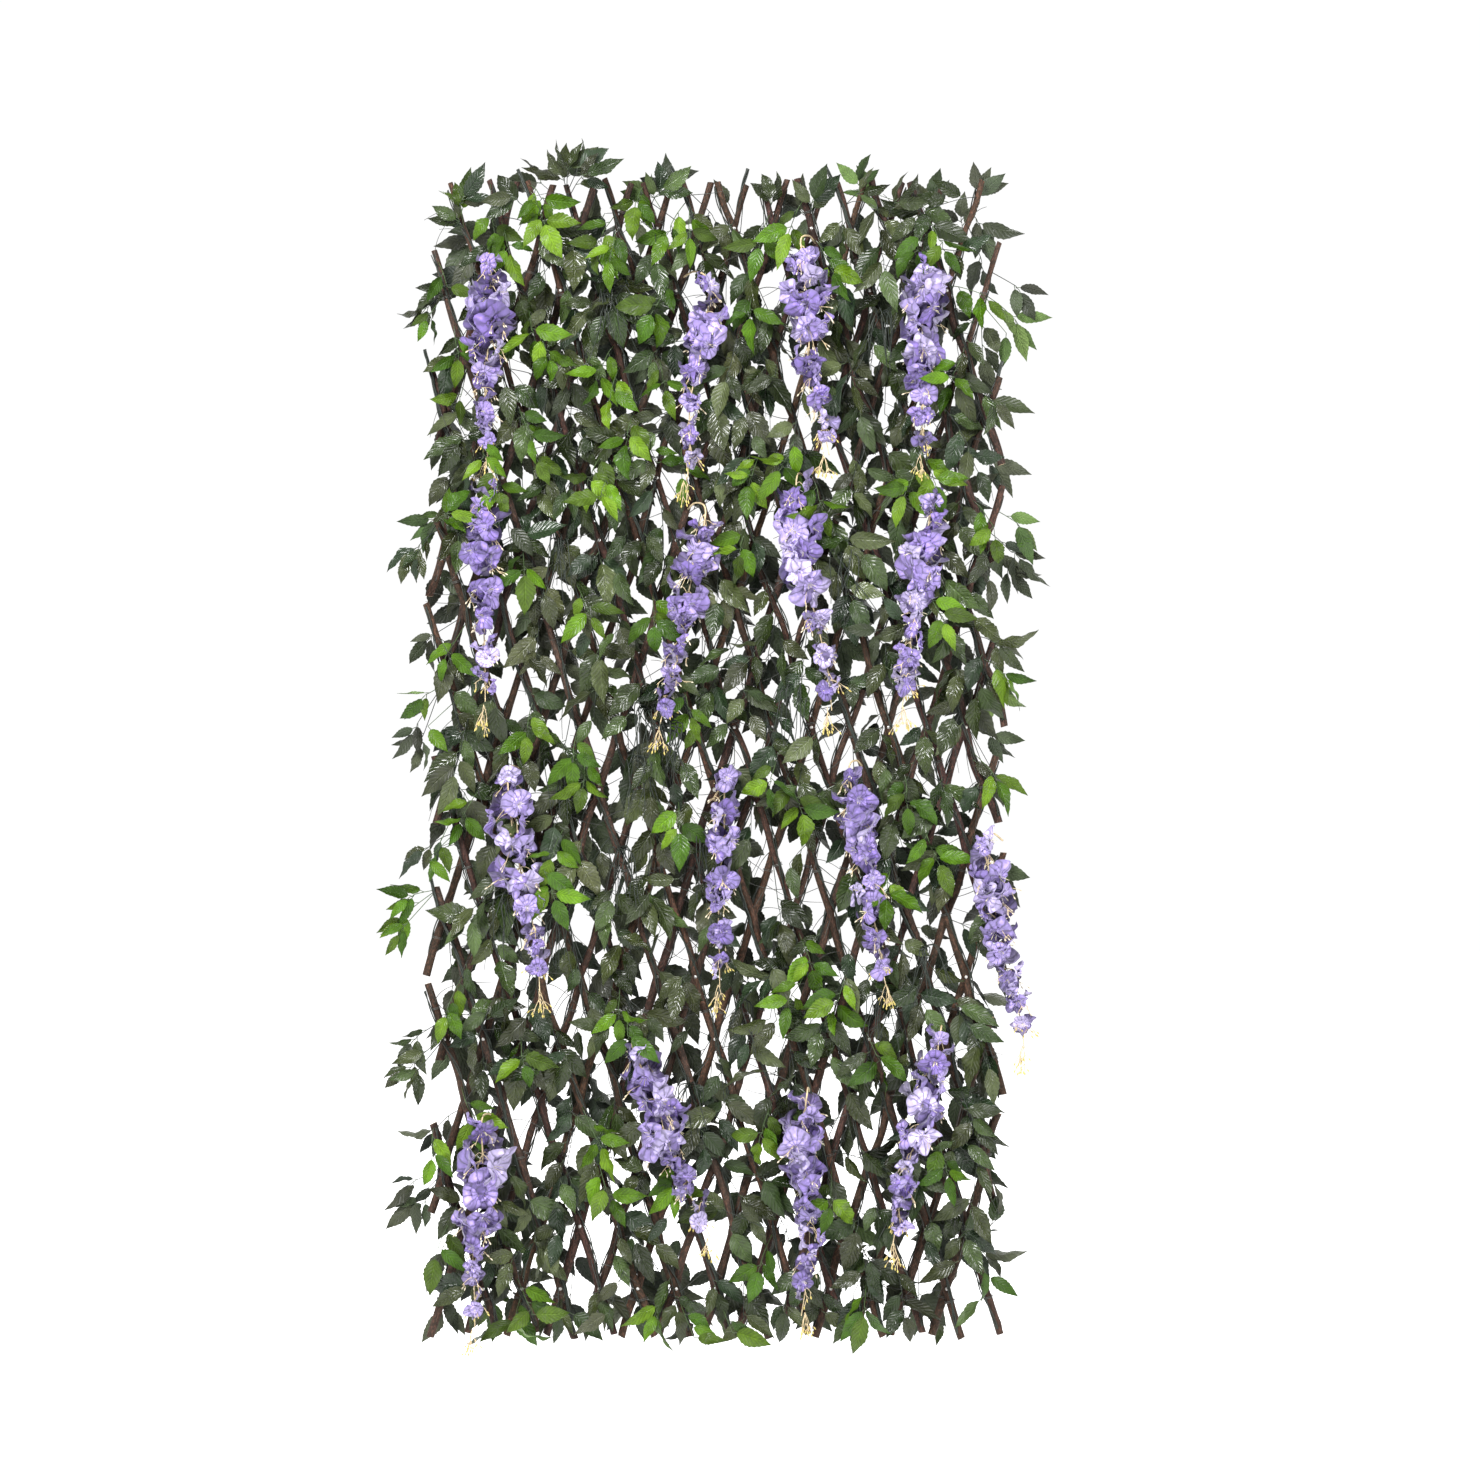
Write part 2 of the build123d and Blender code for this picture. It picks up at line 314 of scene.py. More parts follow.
class Look(Nodes):
    """The nodes of a material with one principled surface."""

    def __init__(self, name, **sockets):
        self.material = bpy.data.materials.new(name)
        self.material.use_nodes = True
        super().__init__(self.material.node_tree)
        self.tree.nodes.clear()
        self.surface = self.node("ShaderNodeBsdfPrincipled", **sockets)
        self.node("ShaderNodeOutputMaterial", Surface=Link(self, self.surface, "BSDF"))

    def place(self):
        """Each point's own place, as its mesh gives it."""
        return self.link("Vector", "ShaderNodeAttribute", {"attribute_name": "place"})

    def split_place(self):
        parts = self.node("ShaderNodeSeparateXYZ", (), (self.place(),))
        return [Link(self, parts, axis) for axis in "XYZ"]

    def tone(self):
        """Each point's own colour, as its mesh gives it."""
        return self.link("Color", "ShaderNodeAttribute", {"attribute_name": "tone"})

    def noise(self, scale, detail=3.0, roughness=0.55, vector=None):
        """Noise in the object's own space, or in another."""
        vector = vector or self.link("Object", "ShaderNodeTexCoord")
        sockets = {"Vector": vector, "Scale": scale, "Detail": detail, "Roughness": roughness}
        return self.link("Fac", "ShaderNodeTexNoise", **sockets)

    def mix(self, share, a, b, blend="MIX"):
        made = self.node("ShaderNodeMix", {"data_type": "RGBA", "blend_type": blend}, (share,))
        self.put(made, MIX_A, a)
        self.put(made, MIX_B, b)
        return Link(self, made, MIX_RESULT)

    def bump(self, height, distance, strength):
        sockets = {"Strength": strength, "Distance": distance, "Height": height}
        self.put(self.surface, "Normal", self.link("Normal", "ShaderNodeBump", **sockets))

    def colour(self, value):
        self.put(self.surface, "Base Color", value)

    def rough(self, value):
        self.put(self.surface, "Roughness", value)


def bark_material():
    """Reddish willow bark, with streaks along it, grey patches and pale scars."""
    dark, warm = (0.024, 0.016, 0.012, 1), (0.092, 0.042, 0.028, 1)
    grey, scar = (0.066, 0.045, 0.034, 1), (0.20, 0.125, 0.088, 1)
    look = Look("willow_bark", Specular_IOR_Level=0.18)
    streak = look.noise(1.7, 5.0, 0.62, look.place().stretch((1.6, 1.6, 14.0)))
    fine = look.noise(1.6, 4.0, 0.7, look.place().stretch((6.0, 6.0, 60.0)))
    streaked = look.mix(streak.ramp(0.42, 0.72), dark, warm)
    patched = look.mix(look.noise(13.0).ramp(0.54, 0.74, 0.0, 0.35), streaked, grey)
    scarred = look.mix(fine.ramp(0.60, 0.72, 0.0, 0.5), patched, scar)
    look.colour(look.mix(1.0, scarred, look.tone(), "MULTIPLY"))
    look.rough(streak.ramp(0.3, 0.7, 0.82, 0.55))
    look.bump(streak * 0.6 + fine * 0.5, 0.0014, 0.9)
    return look.material


def sawn_material():
    """The sawn end of a rod, with its yearly rings."""
    early, late, speck = (0.42, 0.27, 0.15, 1), (0.58, 0.41, 0.25, 1), (0.20, 0.11, 0.07, 1)
    look = Look("sawn_willow", Roughness=0.8)
    length = look.place().vector_math("Value", "LENGTH")
    wood = look.mix((length * 26.0).math("SINE").ramp(-1.0, 1.0), early, late)
    grain = look.noise(1.0, vector=look.place().stretch((9.0, 9.0, 9.0)))
    look.colour(look.mix(grain.ramp(0.45, 0.7, 0.0, 0.6), wood, speck))
    look.bump(grain, 0.0006, 0.6)
    return look.material


def steel_material():
    """Dull zinc-coated steel with darker patches."""
    look = Look("zinc_steel", Metallic=0.85)
    patch = look.noise(420.0, 4.0)
    look.colour(look.mix(patch.ramp(0.4, 0.65), (0.50, 0.50, 0.49, 1), (0.30, 0.27, 0.24, 1)))
    look.rough(patch.ramp(0.35, 0.7, 0.32, 0.62))
    look.bump(patch, 0.0002, 0.5)
    return look.material


def leaf_material(name, roughness, vein_share, specular):
    """A printed fabric leaf, with painted shade of the swell between its veins. Its place is 0 to 1 along
    it, -1 to 1 across it, and how dull it is.
    """
    look = Look(name, Specular_IOR_Level=specular)
    along, across, dull = look.split_place()
    off = abs(across)
    rib = off.ramp(0.035, 0.12, 1.0, 0.0)
    vein = along * 8.5 - off * 2.1
    side = abs(vein.math("FRACT") - 0.5).ramp(0.03, 0.13, 1.0, 0.0) * off.ramp(0.75, 1.0, 1.0, 0.25)
    swell = (vein * (2 * pi)).math("COSINE") * -0.5
    mottle, weave = look.noise(55.0, 4.0, 0.6), look.noise(900.0, 2.0)
    tone = look.tone()
    veins = rib.math("MAXIMUM", side * 0.55)
    # The tone goes lighter and darker with the swell between the side veins. This is painted shade of the
    # quilted relief, on top of the random mottle.
    mottle_and_painted_relief_shade = tone.scaled(mottle.ramp(0.3, 0.7, 0.76, 1.24) + swell * 0.34)
    veined = look.mix(veins * vein_share, mottle_and_painted_relief_shade, tone.scaled(2.3))
    look.colour(look.mix(off.ramp(0.86, 1.0, 0.0, 0.35), veined, tone.scaled(0.72)))
    look.rough(mottle.ramp(0.3, 0.7, roughness - 0.04, roughness + 0.08) + dull * 0.36)
    look.bump(swell * 0.36 + veins * -0.8 + weave * 0.02, 0.0016, 0.8)
    return look.material


def stem_material():
    """The plastic skin of a vine's stems and wires."""
    look = Look("vine_stem", Specular_IOR_Level=0.3)
    patch = look.noise(2.0, vector=look.place().stretch((1.0, 1.0, 60.0)))
    look.colour(look.mix(patch.ramp(0.4, 0.7), look.tone(), look.tone().scaled(1.9)))
    look.rough(patch.ramp(0.3, 0.7, 0.30, 0.48))
    look.bump(patch, 0.0005, 0.6)
    return look.material


def petal_material():
    """A dyed fabric petal, with painted shade in the creases of its pleats. Its place is 0 to 1 out from the
    throat, and the turn round the flower.
    """
    look = Look("wisteria_petal", Roughness=0.62, Sheen_Weight=0.25, Sheen_Roughness=0.5)
    run, turn, _ = look.split_place()
    patch = look.noise(62.0, 2.5, 0.5)
    pleats = abs(((turn + patch * 0.5) * 7.0).math("SINE"))
    tone = look.tone()
    throat = look.mix((run + (patch - 0.5) * 1.3).ramp(0.05, 0.42), (0.46, 0.40, 0.62, 1), tone)
    patched = look.mix(patch.ramp(0.48, 0.68, 0.0, 0.75), throat, tone.scaled(2.1))
    # The creases between the pleats are darkened: painted shade.
    with_painted_crease_shade = look.mix(pleats.ramp(0.0, 0.75, 0.90, 0.0), patched, tone.scaled(0.32))
    look.colour(look.mix(run.ramp(0.80, 1.0, 0.0, 0.55), with_painted_crease_shade, tone.scaled(0.5)))
    look.bump(pleats * 0.5 + patch, 0.0007, 0.6)
    return look.material


def cream_material():
    """The cream stalks and buds of the racemes."""
    look = Look("cream_stalk", Roughness=0.55)
    patch = look.noise(130.0)
    look.colour(look.mix(patch.ramp(0.4, 0.7), look.tone(), look.tone().scaled(0.6)))
    look.bump(patch, 0.0004, 0.5)
    return look.material


BARK, SAWN, STEEL = bark_material(), sawn_material(), steel_material()
DARK_LEAF = leaf_material("dark_leaf", 0.16, 0.22, 0.34)
BRIGHT_LEAF = leaf_material("bright_leaf", 0.25, 0.26, 0.20)
STEM, PETAL, PEDICEL = stem_material(), petal_material(), cream_material()

# Rods

ROD_SIDES, ROD_STEP = 16, 0.0065
BOW, MOST_BOW, BOW_CELLS = 0.0030, 0.0055, 40
KNOT_PITCH, KNOT_LENGTH, KNOT_DRAWS = 0.052, 0.0075, 60
OVAL_TURN = 1.75  # by how much a rod's oval section turns in each row
BARK_SCALE, SAWN_SCALE = 8, 0.007
NAIL_SIDES = 12
NAIL_PROFILE = ((0.0030, -0.0006), (0.0031, 0.0005), (0.0023, 0.0011), (0.0010, 0.0014), (0.0001, 0.00145))
CLINCH = ((0, 0), (0.0022, 0), (0.0026, 0.002), (0.0014, 0.008))  # how far out and along a bent tip runs
NAIL_TIP = (0.0011, STEEL, 6, (1, 1, 1), 0.35)  # as the stems below


class Rod:
    """One willow rod. It is bowed between its crossings, and passes through each of them."""

    def __init__(self, layer, number):
        self.number = number
        self.side = -1 if layer == "front" else 1
        self.name = f"{layer}_rod_{number + EACH_SIDE + 1:02d}"
        self.has_vine = number in (FRONT_VINES if layer == "front" else BACK_VINES)
        self.dice = np.random.default_rng(ROD_SEEDS[layer] + number)
        self.up = np.array([self.side * sin(LEAN), 0, cos(LEAN)])
        self.across = np.array([cos(LEAN), 0, -self.side * sin(LEAN)])
        self.out = np.array([0.0, self.side, 0.0])
        shift = -self.side * 2 * number
        self.high_crossing = min(TOP_ROW, SIDE_COLUMN + shift)
        self.low_crossing = max(BOTTOM_ROW, -SIDE_COLUMN + shift)
        end = END_RUN * END_SHARES[number % len(END_SHARES)]
        beside = SIDE_RUN * SIDE_SHARES[number % len(SIDE_SHARES)]
        high_run = end if self.high_crossing == TOP_ROW else beside
        low_run = end if self.low_crossing == BOTTOM_ROW else beside
        self.high = self.high_crossing + high_run / SPACING
        self.low = self.low_crossing - low_run / SPACING
        self.length = (self.high - self.low) * SPACING
        self.low_width = THICK * THICKNESS_SHARES[number % len(THICKNESS_SHARES)]
        full = (TOP_ROW - BOTTOM_ROW) * SPACING + 2 * END_RUN
        self.high_width = self.low_width - (THICK - THIN) * self.length / full
        self.bows = self.dice.normal(0, BOW, BOW_CELLS).clip(-MOST_BOW, MOST_BOW)
        light = self.dice.uniform(0.75, 1.3)
        self.tone = light * np.array([1.0, self.dice.uniform(0.88, 1.08), self.dice.uniform(0.85, 1.1)])

    def width(self, row):
        share = (np.asarray(row) - self.low) / (self.high - self.low)
        return self.low_width + (self.high_width - self.low_width) * share

    def bow(self, row):
        row = np.asarray(row, float)
        cell = np.floor(row).astype(int)
        return self.bows[cell + BOW_CELLS // 2] * np.sin(pi * (row - cell))

    def at(self, row, across=0.0, depth=0.0):
        """A point beside the rod's line, with depth measured outwards from the middle plane."""
        row, across, depth = (np.asarray(v, float)[..., None] for v in (row, across, depth))
        start = np.array([2 * self.number * SPACING * sin(LEAN), 0, 0])
        return start + self.up * row * SPACING + self.across * across + self.out * depth

    def centre(self, row, across=0.0, off=0.0):
        """A point by the bowed rod's centre line, across metres beside it and off metres further out."""
        return self.at(row, self.bow(row) + across, GAP / 2 + self.width(row) / 2 + off)

    def nailed_rows(self):
        """The rows with a nail, but for the middle crossing, whose nail is a node of its own."""
        rows = range(self.low_crossing, self.high_crossing + 1)
        rows = [r for r in rows if r % 4 in (0, 1) and abs(self.number + self.side * r) <= EACH_SIDE]
        return [r for r in rows if (self.number, r) != (0, 0)]


def knot_swell(rod, run, angle):
    """How far the bark swells out at the rod's knots, as a share of its radius."""
    dice = rod.dice
    first = dice.uniform(0.03, 0.1)
    shift = dice.uniform(-0.018, 0.018, KNOT_DRAWS)[0]  # only the first of these draws is used
    swell = np.zeros((len(run), ROD_SIDES))
    for knot in np.arange(first, rod.length - 0.02, KNOT_PITCH) + shift:
        place = knot + dice.uniform(-0.02, 0.02)
        turn = dice.uniform(0, 2 * pi)
        size = dice.uniform(0.3, 1.0)
        near = np.exp(-(((run - place) / KNOT_LENGTH) ** 2))[:, None]
        swell += size * near * (0.05 + 0.20 * np.exp(4.0 * (np.cos(angle - turn) - 1)))
    return swell


def build_rod(rod):
    """A rod's bark and sawn ends, and the nails of a front rod."""
    piece = Piece(rod.name + "_willow")
    rows = np.linspace(rod.low, rod.high, int(rod.length / ROD_STEP))
    angle = circle(ROD_SIDES)
    run = (rows - rod.low) * SPACING
    oval = 1 + 0.045 * np.cos(2 * angle + OVAL_TURN * rows[:, None])
    oval = oval + 0.02 * np.sin(3 * angle + rows[:, None])
    half = rod.width(rows)[:, None] / 2
    radius = half * (oval + knot_swell(rod, run, angle)) * 0.99
    across = rod.bow(rows)[:, None] + radius * np.cos(angle)
    depth = np.maximum(GAP / 2 + half + radius * np.sin(angle), GAP / 2)
    slant = np.cos(angle) * radius * rod.dice.uniform(-0.25, 0.25)
    lifted = np.repeat(rows[:, None], ROD_SIDES, 1)
    for end in (0, -1):
        lifted[end] += slant[end] / SPACING
    rings = rod.at(lifted, across, depth)
    faces = grid_faces(len(rows), ROD_SIDES, closed=True)
    offset = rod.dice.uniform(0, 50)
    places = grid_rows(np.cos(angle), np.sin(angle), (run * BARK_SCALE + offset)[:, None])
    piece.add(rings.reshape(-1, 3), faces[:, ::-1] if rod.side < 0 else faces, BARK, places, rod.tone)
    for end in (0, -1):
        add_sawn_end(piece, rings[end], (end == 0) == (rod.side > 0))
    if rod.side < 0:
        add_nails(piece, rod)
    piece.build(rod.name, "willow", [rod.name])


def add_sawn_end(piece, ring, flipped):
    """Closes the ring of points at a rod's end."""
    middle = ring.mean(axis=0)
    spread = ring - middle
    points = np.vstack([middle + spread * 0.995, middle + spread * 0.5, middle[None]])
    places = np.vstack([spread, spread * 0.5, np.zeros((1, 3))]) / SAWN_SCALE
    pair = np.arange(0, ROD_SIDES, 2)
    hub = np.full(len(pair), ROD_SIDES)
    fan = np.stack([pair, pair + 1, (pair + 2) % ROD_SIDES, hub], -1) + ROD_SIDES
    faces = np.vstack([grid_faces(2, ROD_SIDES, closed=True), fan])
    piece.add(points, faces[:, ::-1] if flipped else faces, SAWN, places)


def add_nails(piece, rod):
    """Nail heads on the front rod, and their clinched tips behind the back rods."""
    angle = circle(NAIL_SIDES)
    around = rod.across * np.cos(angle)[:, None] + rod.up * np.sin(angle)[:, None]
    for row in rod.nailed_rows():
        top = rod.at(row, 0, GAP / 2 + rod.width(row))
        rings = [top + around * radius + rod.out * height for radius, height in NAIL_PROFILE]
        piece.add(np.vstack(rings), grid_faces(len(NAIL_PROFILE), NAIL_SIDES, closed=True), STEEL)
        behind = rods["back", rod.number - row]
        turn = rod.dice.uniform(0, 2 * pi)
        way = rod.across * cos(turn) + rod.up * sin(turn)
        root = rod.at(row, 0, -GAP / 2 - behind.width(row) + 0.001)
        bend = [root - rod.out * out + way * along for out, along in CLINCH]
        piece.tube(smooth_path(bend, 3), *NAIL_TIP)


numbers = range(-EACH_SIDE, EACH_SIDE + 1)
rods = {(layer, number): Rod(layer, number) for layer in ("front", "back") for number in numbers}
for rod in rods.values():
    build_rod(rod)
rivet = frame["nodes"]["centre_rivet"]
rivet.data.materials.clear()
rivet.data.materials.append(STEEL)

# Leaves

LEAF_STATIONS, LEAF_KINDS = 17, 40
SLIM_HALF, BROADER = 0.180, 0.085  # half the width of the first kind, and how much more the last has
SERRATION = (0.96, 1.07)
LEAF_SHEETS = (((-1, -0.5, 0, 0.5, 1), 0.0), ((1, 0, -1), -0.006))  # points across, and how low


def leaf_kind(dice, share):
    """One leaf of length 1 along X, facing up Z: points, faces, places, and how many points are on top."""
    run = np.linspace(0, 1, LEAF_STATIONS)
    half = run**0.78 * (1 - run) ** 1.3
    half *= (SLIM_HALF + BROADER * share) / half.max()
    teeth = np.where(np.arange(LEAF_STATIONS) % 2, SERRATION[1], SERRATION[0])
    fold = dice.uniform(0.08, 0.42)
    curl = dice.uniform(0.05, 0.95) * dice.choice([1, 1, 1, -0.5])
    sway = dice.uniform(-0.35, 0.35)
    twist = dice.uniform(-0.8, 0.8)
    wave, phase = dice.uniform(0.05, 0.16), dice.uniform(0, 2 * pi, 2)
    bend = curl * run**1.4
    ahead = running_sum(np.cos(bend[1:]) * np.diff(run))
    fall = running_sum(np.sin(bend[1:]) * np.diff(run))
    middle = np.stack([ahead, sway * run**2 * 0.25, -fall], -1)
    up = np.stack([np.sin(bend), 0 * bend, np.cos(bend)], -1)
    roll = twist * run[:, None]
    all_points, all_faces, all_places = [], [], []
    for across, drop in LEAF_SHEETS:
        v = np.array(across, float)
        edge = np.where(np.abs(v) > 0.9, teeth[:, None], 1.0)
        y = v * half[:, None] * edge
        crests = np.sin(2 * pi * 2.1 * run[:, None] + np.where(v > 0, phase[0], phase[1]))
        z = np.abs(y) * fold + wave * crests * np.abs(v) * half[:, None] * 1.6 + drop
        y, z = y * np.cos(roll) - z * np.sin(roll), y * np.sin(roll) + z * np.cos(roll)
        points = middle[:, None] + y[..., None] * AWAY + z[..., None] * up[:, None]
        before = sum(map(len, all_points))
        all_points.append(points.reshape(-1, 3))
        all_faces.append(grid_faces(LEAF_STATIONS, len(v))[:, [0, 3, 2, 1]] + before)
        all_places.append(grid_rows(run[:, None], v, float(drop < 0)))
    return np.vstack(all_points), np.vstack(all_faces), np.vstack(all_places), len(all_points[0])


# How far the edge sprigs and the other leaves may reach
LIMITS = np.array([[-0.594, -0.124, -0.975], [0.590, 0.062, 1.140]])
INNER_LIMITS = np.array([[-0.508, -0.124, -0.968], [0.512, 0.062, 1.085]])

# Gaps of the photograph that stay open: the middle pixel and the radius in pixels
OPEN_SPOTS = (
    (520, 688, 11), (452, 310, 10), (719, 1261, 11), (968, 1286, 11), (679, 946, 10), (524, 1131, 10),
    (741, 752, 10), (967, 749, 10), (701, 1232, 9), (986, 977, 9), (488, 980, 9), (751, 1087, 9),
    (764, 519, 9), (450, 892, 9), (511, 609, 9), (520, 374, 9), (769, 284, 9), (663, 488, 9), (768, 873, 9),
    (563, 1014, 9), (858, 1192, 9), (787, 610, 8), (857, 719, 9), (774, 841, 8), (827, 1081, 8),
    (967, 1186, 9), (603, 1248, 9), (990, 1302, 9), (793, 375, 8), (877, 703, 8), (908, 918, 9),
    (648, 1154, 8), (910, 1258, 9), (461, 631, 8), (861, 762, 8), (815, 889, 8), (966, 898, 8),
    (471, 396, 8), (698, 756, 8), (572, 1138, 8), (742, 1180, 8), (735, 205, 8),
)
gap_middles = np.array([spot(px, py) for px, py, _ in OPEN_SPOTS])
gap_radii = np.array([radius * PIXEL for _, _, radius in OPEN_SPOTS])


def covers_gap(points):
    away = points[:, None] - gap_middles
    return bool((np.hypot(away[..., 0], away[..., 2]) < gap_radii).any())


# The grids that keep the leaves from passing through each other: cells, left and lowest edge, counts
CELL = 0.004
GRID_LEFT, GRID_LOW = -0.68, -1.12
GRID_SHAPE = (340, 590)
CLEAR = 0.0012  # between a leaf and what is under it


class Field:
    """How far out the screen reaches so far, cell by cell, on one of its two faces."""

    def __init__(self, side):
        self.side = side
        self.depth = np.full(GRID_SHAPE, 0.003)

    def cells(self, points):
        i = ((points[:, 0] - GRID_LEFT) / CELL).astype(int).clip(0, GRID_SHAPE[0] - 1)
        j = ((points[:, 2] - GRID_LOW) / CELL).astype(int).clip(0, GRID_SHAPE[1] - 1)
        return i, j

    def lift(self, points):
        """How far out the points have to move to clear what is there."""
        return max(0.0, float((self.depth[self.cells(points)] + CLEAR - points[:, 1] * self.side).max()))

    def fill(self, points):
        np.maximum.at(self.depth, self.cells(points), points[:, 1] * self.side)

    def fill_rod(self, rod):
        rows = np.arange(rod.low, rod.high, 0.02)[:, None]
        width = rod.width(rows)
        across = rod.bow(rows) + np.linspace(-0.5, 0.5, 5) * width
        self.fill(rod.at(rows, across, GAP / 2 + width).reshape(-1, 3))


kind_dice = np.random.default_rng(LEAF_SEED)
leaf_kinds = [leaf_kind(kind_dice, kind / LEAF_KINDS) for kind in range(LEAF_KINDS)]
fields = {-1: Field(-1), 1: Field(1)}
for rod in rods.values():
    fields[rod.side].fill_rod(rod)

DARK_TONES = (
    (0.012, 0.019, 0.004), (0.019, 0.028, 0.007), (0.027, 0.035, 0.009), (0.015, 0.028, 0.006),
    (0.038, 0.049, 0.016), (0.020, 0.024, 0.008), (0.012, 0.023, 0.009), (0.032, 0.053, 0.013),
)
BRIGHT_TONES = (
    (0.036, 0.082, 0.003), (0.055, 0.116, 0.004), (0.026, 0.062, 0.004), (0.076, 0.138, 0.007),
    (0.036, 0.064, 0.005),
)
DRY_TONES = ((0.036, 0.044, 0.016), (0.048, 0.054, 0.022))
STEM_TONE = (0.014, 0.018, 0.014)

# Stems: radius, material, sides, tone, and how thick the far end is beside the start
VINE = (0.0017, STEM, 6, STEM_TONE, 1.0)
BRANCH = (0.0012, STEM, 6, STEM_TONE, 1.0)
STRAND = (0.0013, STEM, 5, STEM_TONE, 0.45)
DARK_TWIG = (0.0008, STEM, 5, STEM_TONE, 0.7)
BRIGHT_TWIG = (0.0008, STEM, 5, (0.035, 0.06, 0.02), 0.7)
LEAF_STALK = (0.0007, STEM, 4, (0.03, 0.045, 0.02), 1.0)
WIRE = (0.0008, STEM, 4, (0.030, 0.032, 0.028), 0.5)
TIE = (0.0007, STEM, 4, (0.05, 0.05, 0.045), 1.0)

LEAF_PITCH = 0.016  # along a sprig
LEAF_STALK_LENGTH = 0.006
FAN = 3  # the leaves that fan out from a sprig's tip
TIE_POINTS = 26

dice = np.random.default_rng(FOLIAGE_SEED)  # one row of draws that all the foliage shares


class LeafStyle(NamedTuple):
    """How the leaves of a sprig look, and where they may lie."""

    material: object
    tones: tuple
    length: float
    face: int  # -1 in front of the screen and 1 behind it
    spread: float = 0.62  # the usual angle between a leaf and its stem
    loose: float = 0.3  # the share that leans far over
    most: float = 0.034  # how far out a leaf may move to clear what is there
    limits: object = INNER_LIMITS
    kinds: tuple = (0, LEAF_KINDS)
    tries: int = 1


class Foliage(Piece):
    """The leaves, stems and wires that ride on one rod."""

    def __init__(self, rod):
        super().__init__(rod.name + "_foliage")
        self.rod = rod

    def leaf(self, base, along, facing, length, tone, style):
        """Adds one leaf, moved out to clear what is there, and gives its base, if it has room."""
        points, faces, places, upper = leaf_kinds[dice.integers(*style.kinds)]
        along = unit(along)
        facing = unit(facing - along * np.dot(facing, along))
        beside = np.cross(facing, along) * dice.choice([-1.0, 1.0])
        if np.dot(np.cross(along, beside), facing) < 0:
            faces = faces[:, ::-1]
        placed = base + (points * length) @ np.stack([along, beside, facing])
        field = fields[style.face]
        lift = field.lift(placed[:upper])
        if lift > style.most:
            return None
        shift = np.array([0, style.face * lift, 0])
        placed = placed + shift
        outside = (placed < style.limits[0]).any() or (placed > style.limits[1]).any()
        if outside or covers_gap(placed[:upper]):
            return None
        field.fill(placed[:upper])
        shade = np.array(tone) * dice.uniform(0.66, 1.36)
        under = shade * 0.75 + shade.mean() * 0.45
        tones = np.vstack([np.tile(shade, (upper, 1)), np.tile(under, (len(points) - upper, 1))])
        places = places.copy()
        places[:upper, 2] = dice.uniform(0.0, 1.0) ** 2.2 * 0.8
        self.add(placed, faces, style.material, places, tones)
        return base + shift

    def side_leaf(self, stem, flat, share, scale, style):
        """Tries one leaf beside a sprig's stem, and gives both ends of its stalk."""
        out = AWAY * style.face
        along = unit(flat + out * dice.uniform(-0.12, 0.38) + DOWN * 0.12)
        lean = 1.1 if dice.random() < style.loose else 0.4
        facing = out + np.array([dice.normal(0, lean), 0, dice.normal(0.15, lean)])
        length = style.length * dice.uniform(0.72, 1.16) * scale
        stalk = unit(flat) * LEAF_STALK_LENGTH
        depth = 0.019 + 0.010 * share * dice.uniform(0.2, 1.0)
        base = np.array([stem[0], style.face * depth, stem[2]]) + stalk
        tone = style.tones[dice.integers(len(style.tones))]
        found = self.leaf(base, along, facing, length, tone, style)
        return None if found is None else (found - stalk * 1.2, found)

    def sprig(self, row, way, count, style, reach=None):
        """A wiry side stem with leaves on alternate sides, and the last three fanned out."""
        start = self.rod.centre(row)
        reach = reach or LEAF_PITCH * count + 0.012
        way = unit(way)
        stalks = []
        for k in range(count):
            fan = k - (count - FAN)
            share = (k + 1) / (count - 2) if fan < 0 else 0.84 + 0.08 * fan
            ahead = unit(way + DOWN * 0.55 * share)
            stem = start + way * reach * share + DOWN * reach * 0.25 * share**2
            swap = dice.integers(0, 2) if fan < 0 else 0
            side = (1 if (k + swap) % 2 else -1) * (1.0 if fan < 0 else 1.25)
            for _ in range(style.tries):
                if fan == FAN - 1:
                    turn = dice.normal(0, 0.15)
                else:
                    turn = side * dice.uniform(style.spread * 0.7, style.spread * 1.4)
                stalk = self.side_leaf(stem, turned(ahead, turn), share, 1.0 if k else 0.9, style)
                if stalk is not None:
                    stalks.append(stalk)
                    break
        if not stalks:
            return
        twig = DARK_TWIG if style.material is DARK_LEAF else BRIGHT_TWIG
        self.tube(smooth_path([start] + [stem for stem, _ in stalks], 4), *twig)
        for stalk in stalks:
            self.tube(stalk, *LEAF_STALK)

    def wire(self, row):
        """A loose thin stem that curls away from the rod."""
        start = self.rod.centre(row)
        way = in_plane(dice.uniform(0, 2 * pi))
        length, curl = dice.uniform(0.03, 0.075), dice.uniform(0.4, 2.4)
        face = self.rod.side if dice.random() < 0.7 else -self.rod.side
        side = np.array([way[2], 0, -way[0]]) * dice.choice([-1.0, 1.0])
        points = [start]
        for share in (0.25, 0.5, 0.75, 1.0):
            point = start + way * length * share + side * length * curl * 0.35 * share**2
            points.append(point + np.array([0, face * (0.012 + 0.02 * share), -0.25 * length * share**2]))
        if (np.array(points) > INNER_LIMITS[0]).all() and (np.array(points) < INNER_LIMITS[1]).all():
            self.tube(smooth_path(points, 4), *WIRE)

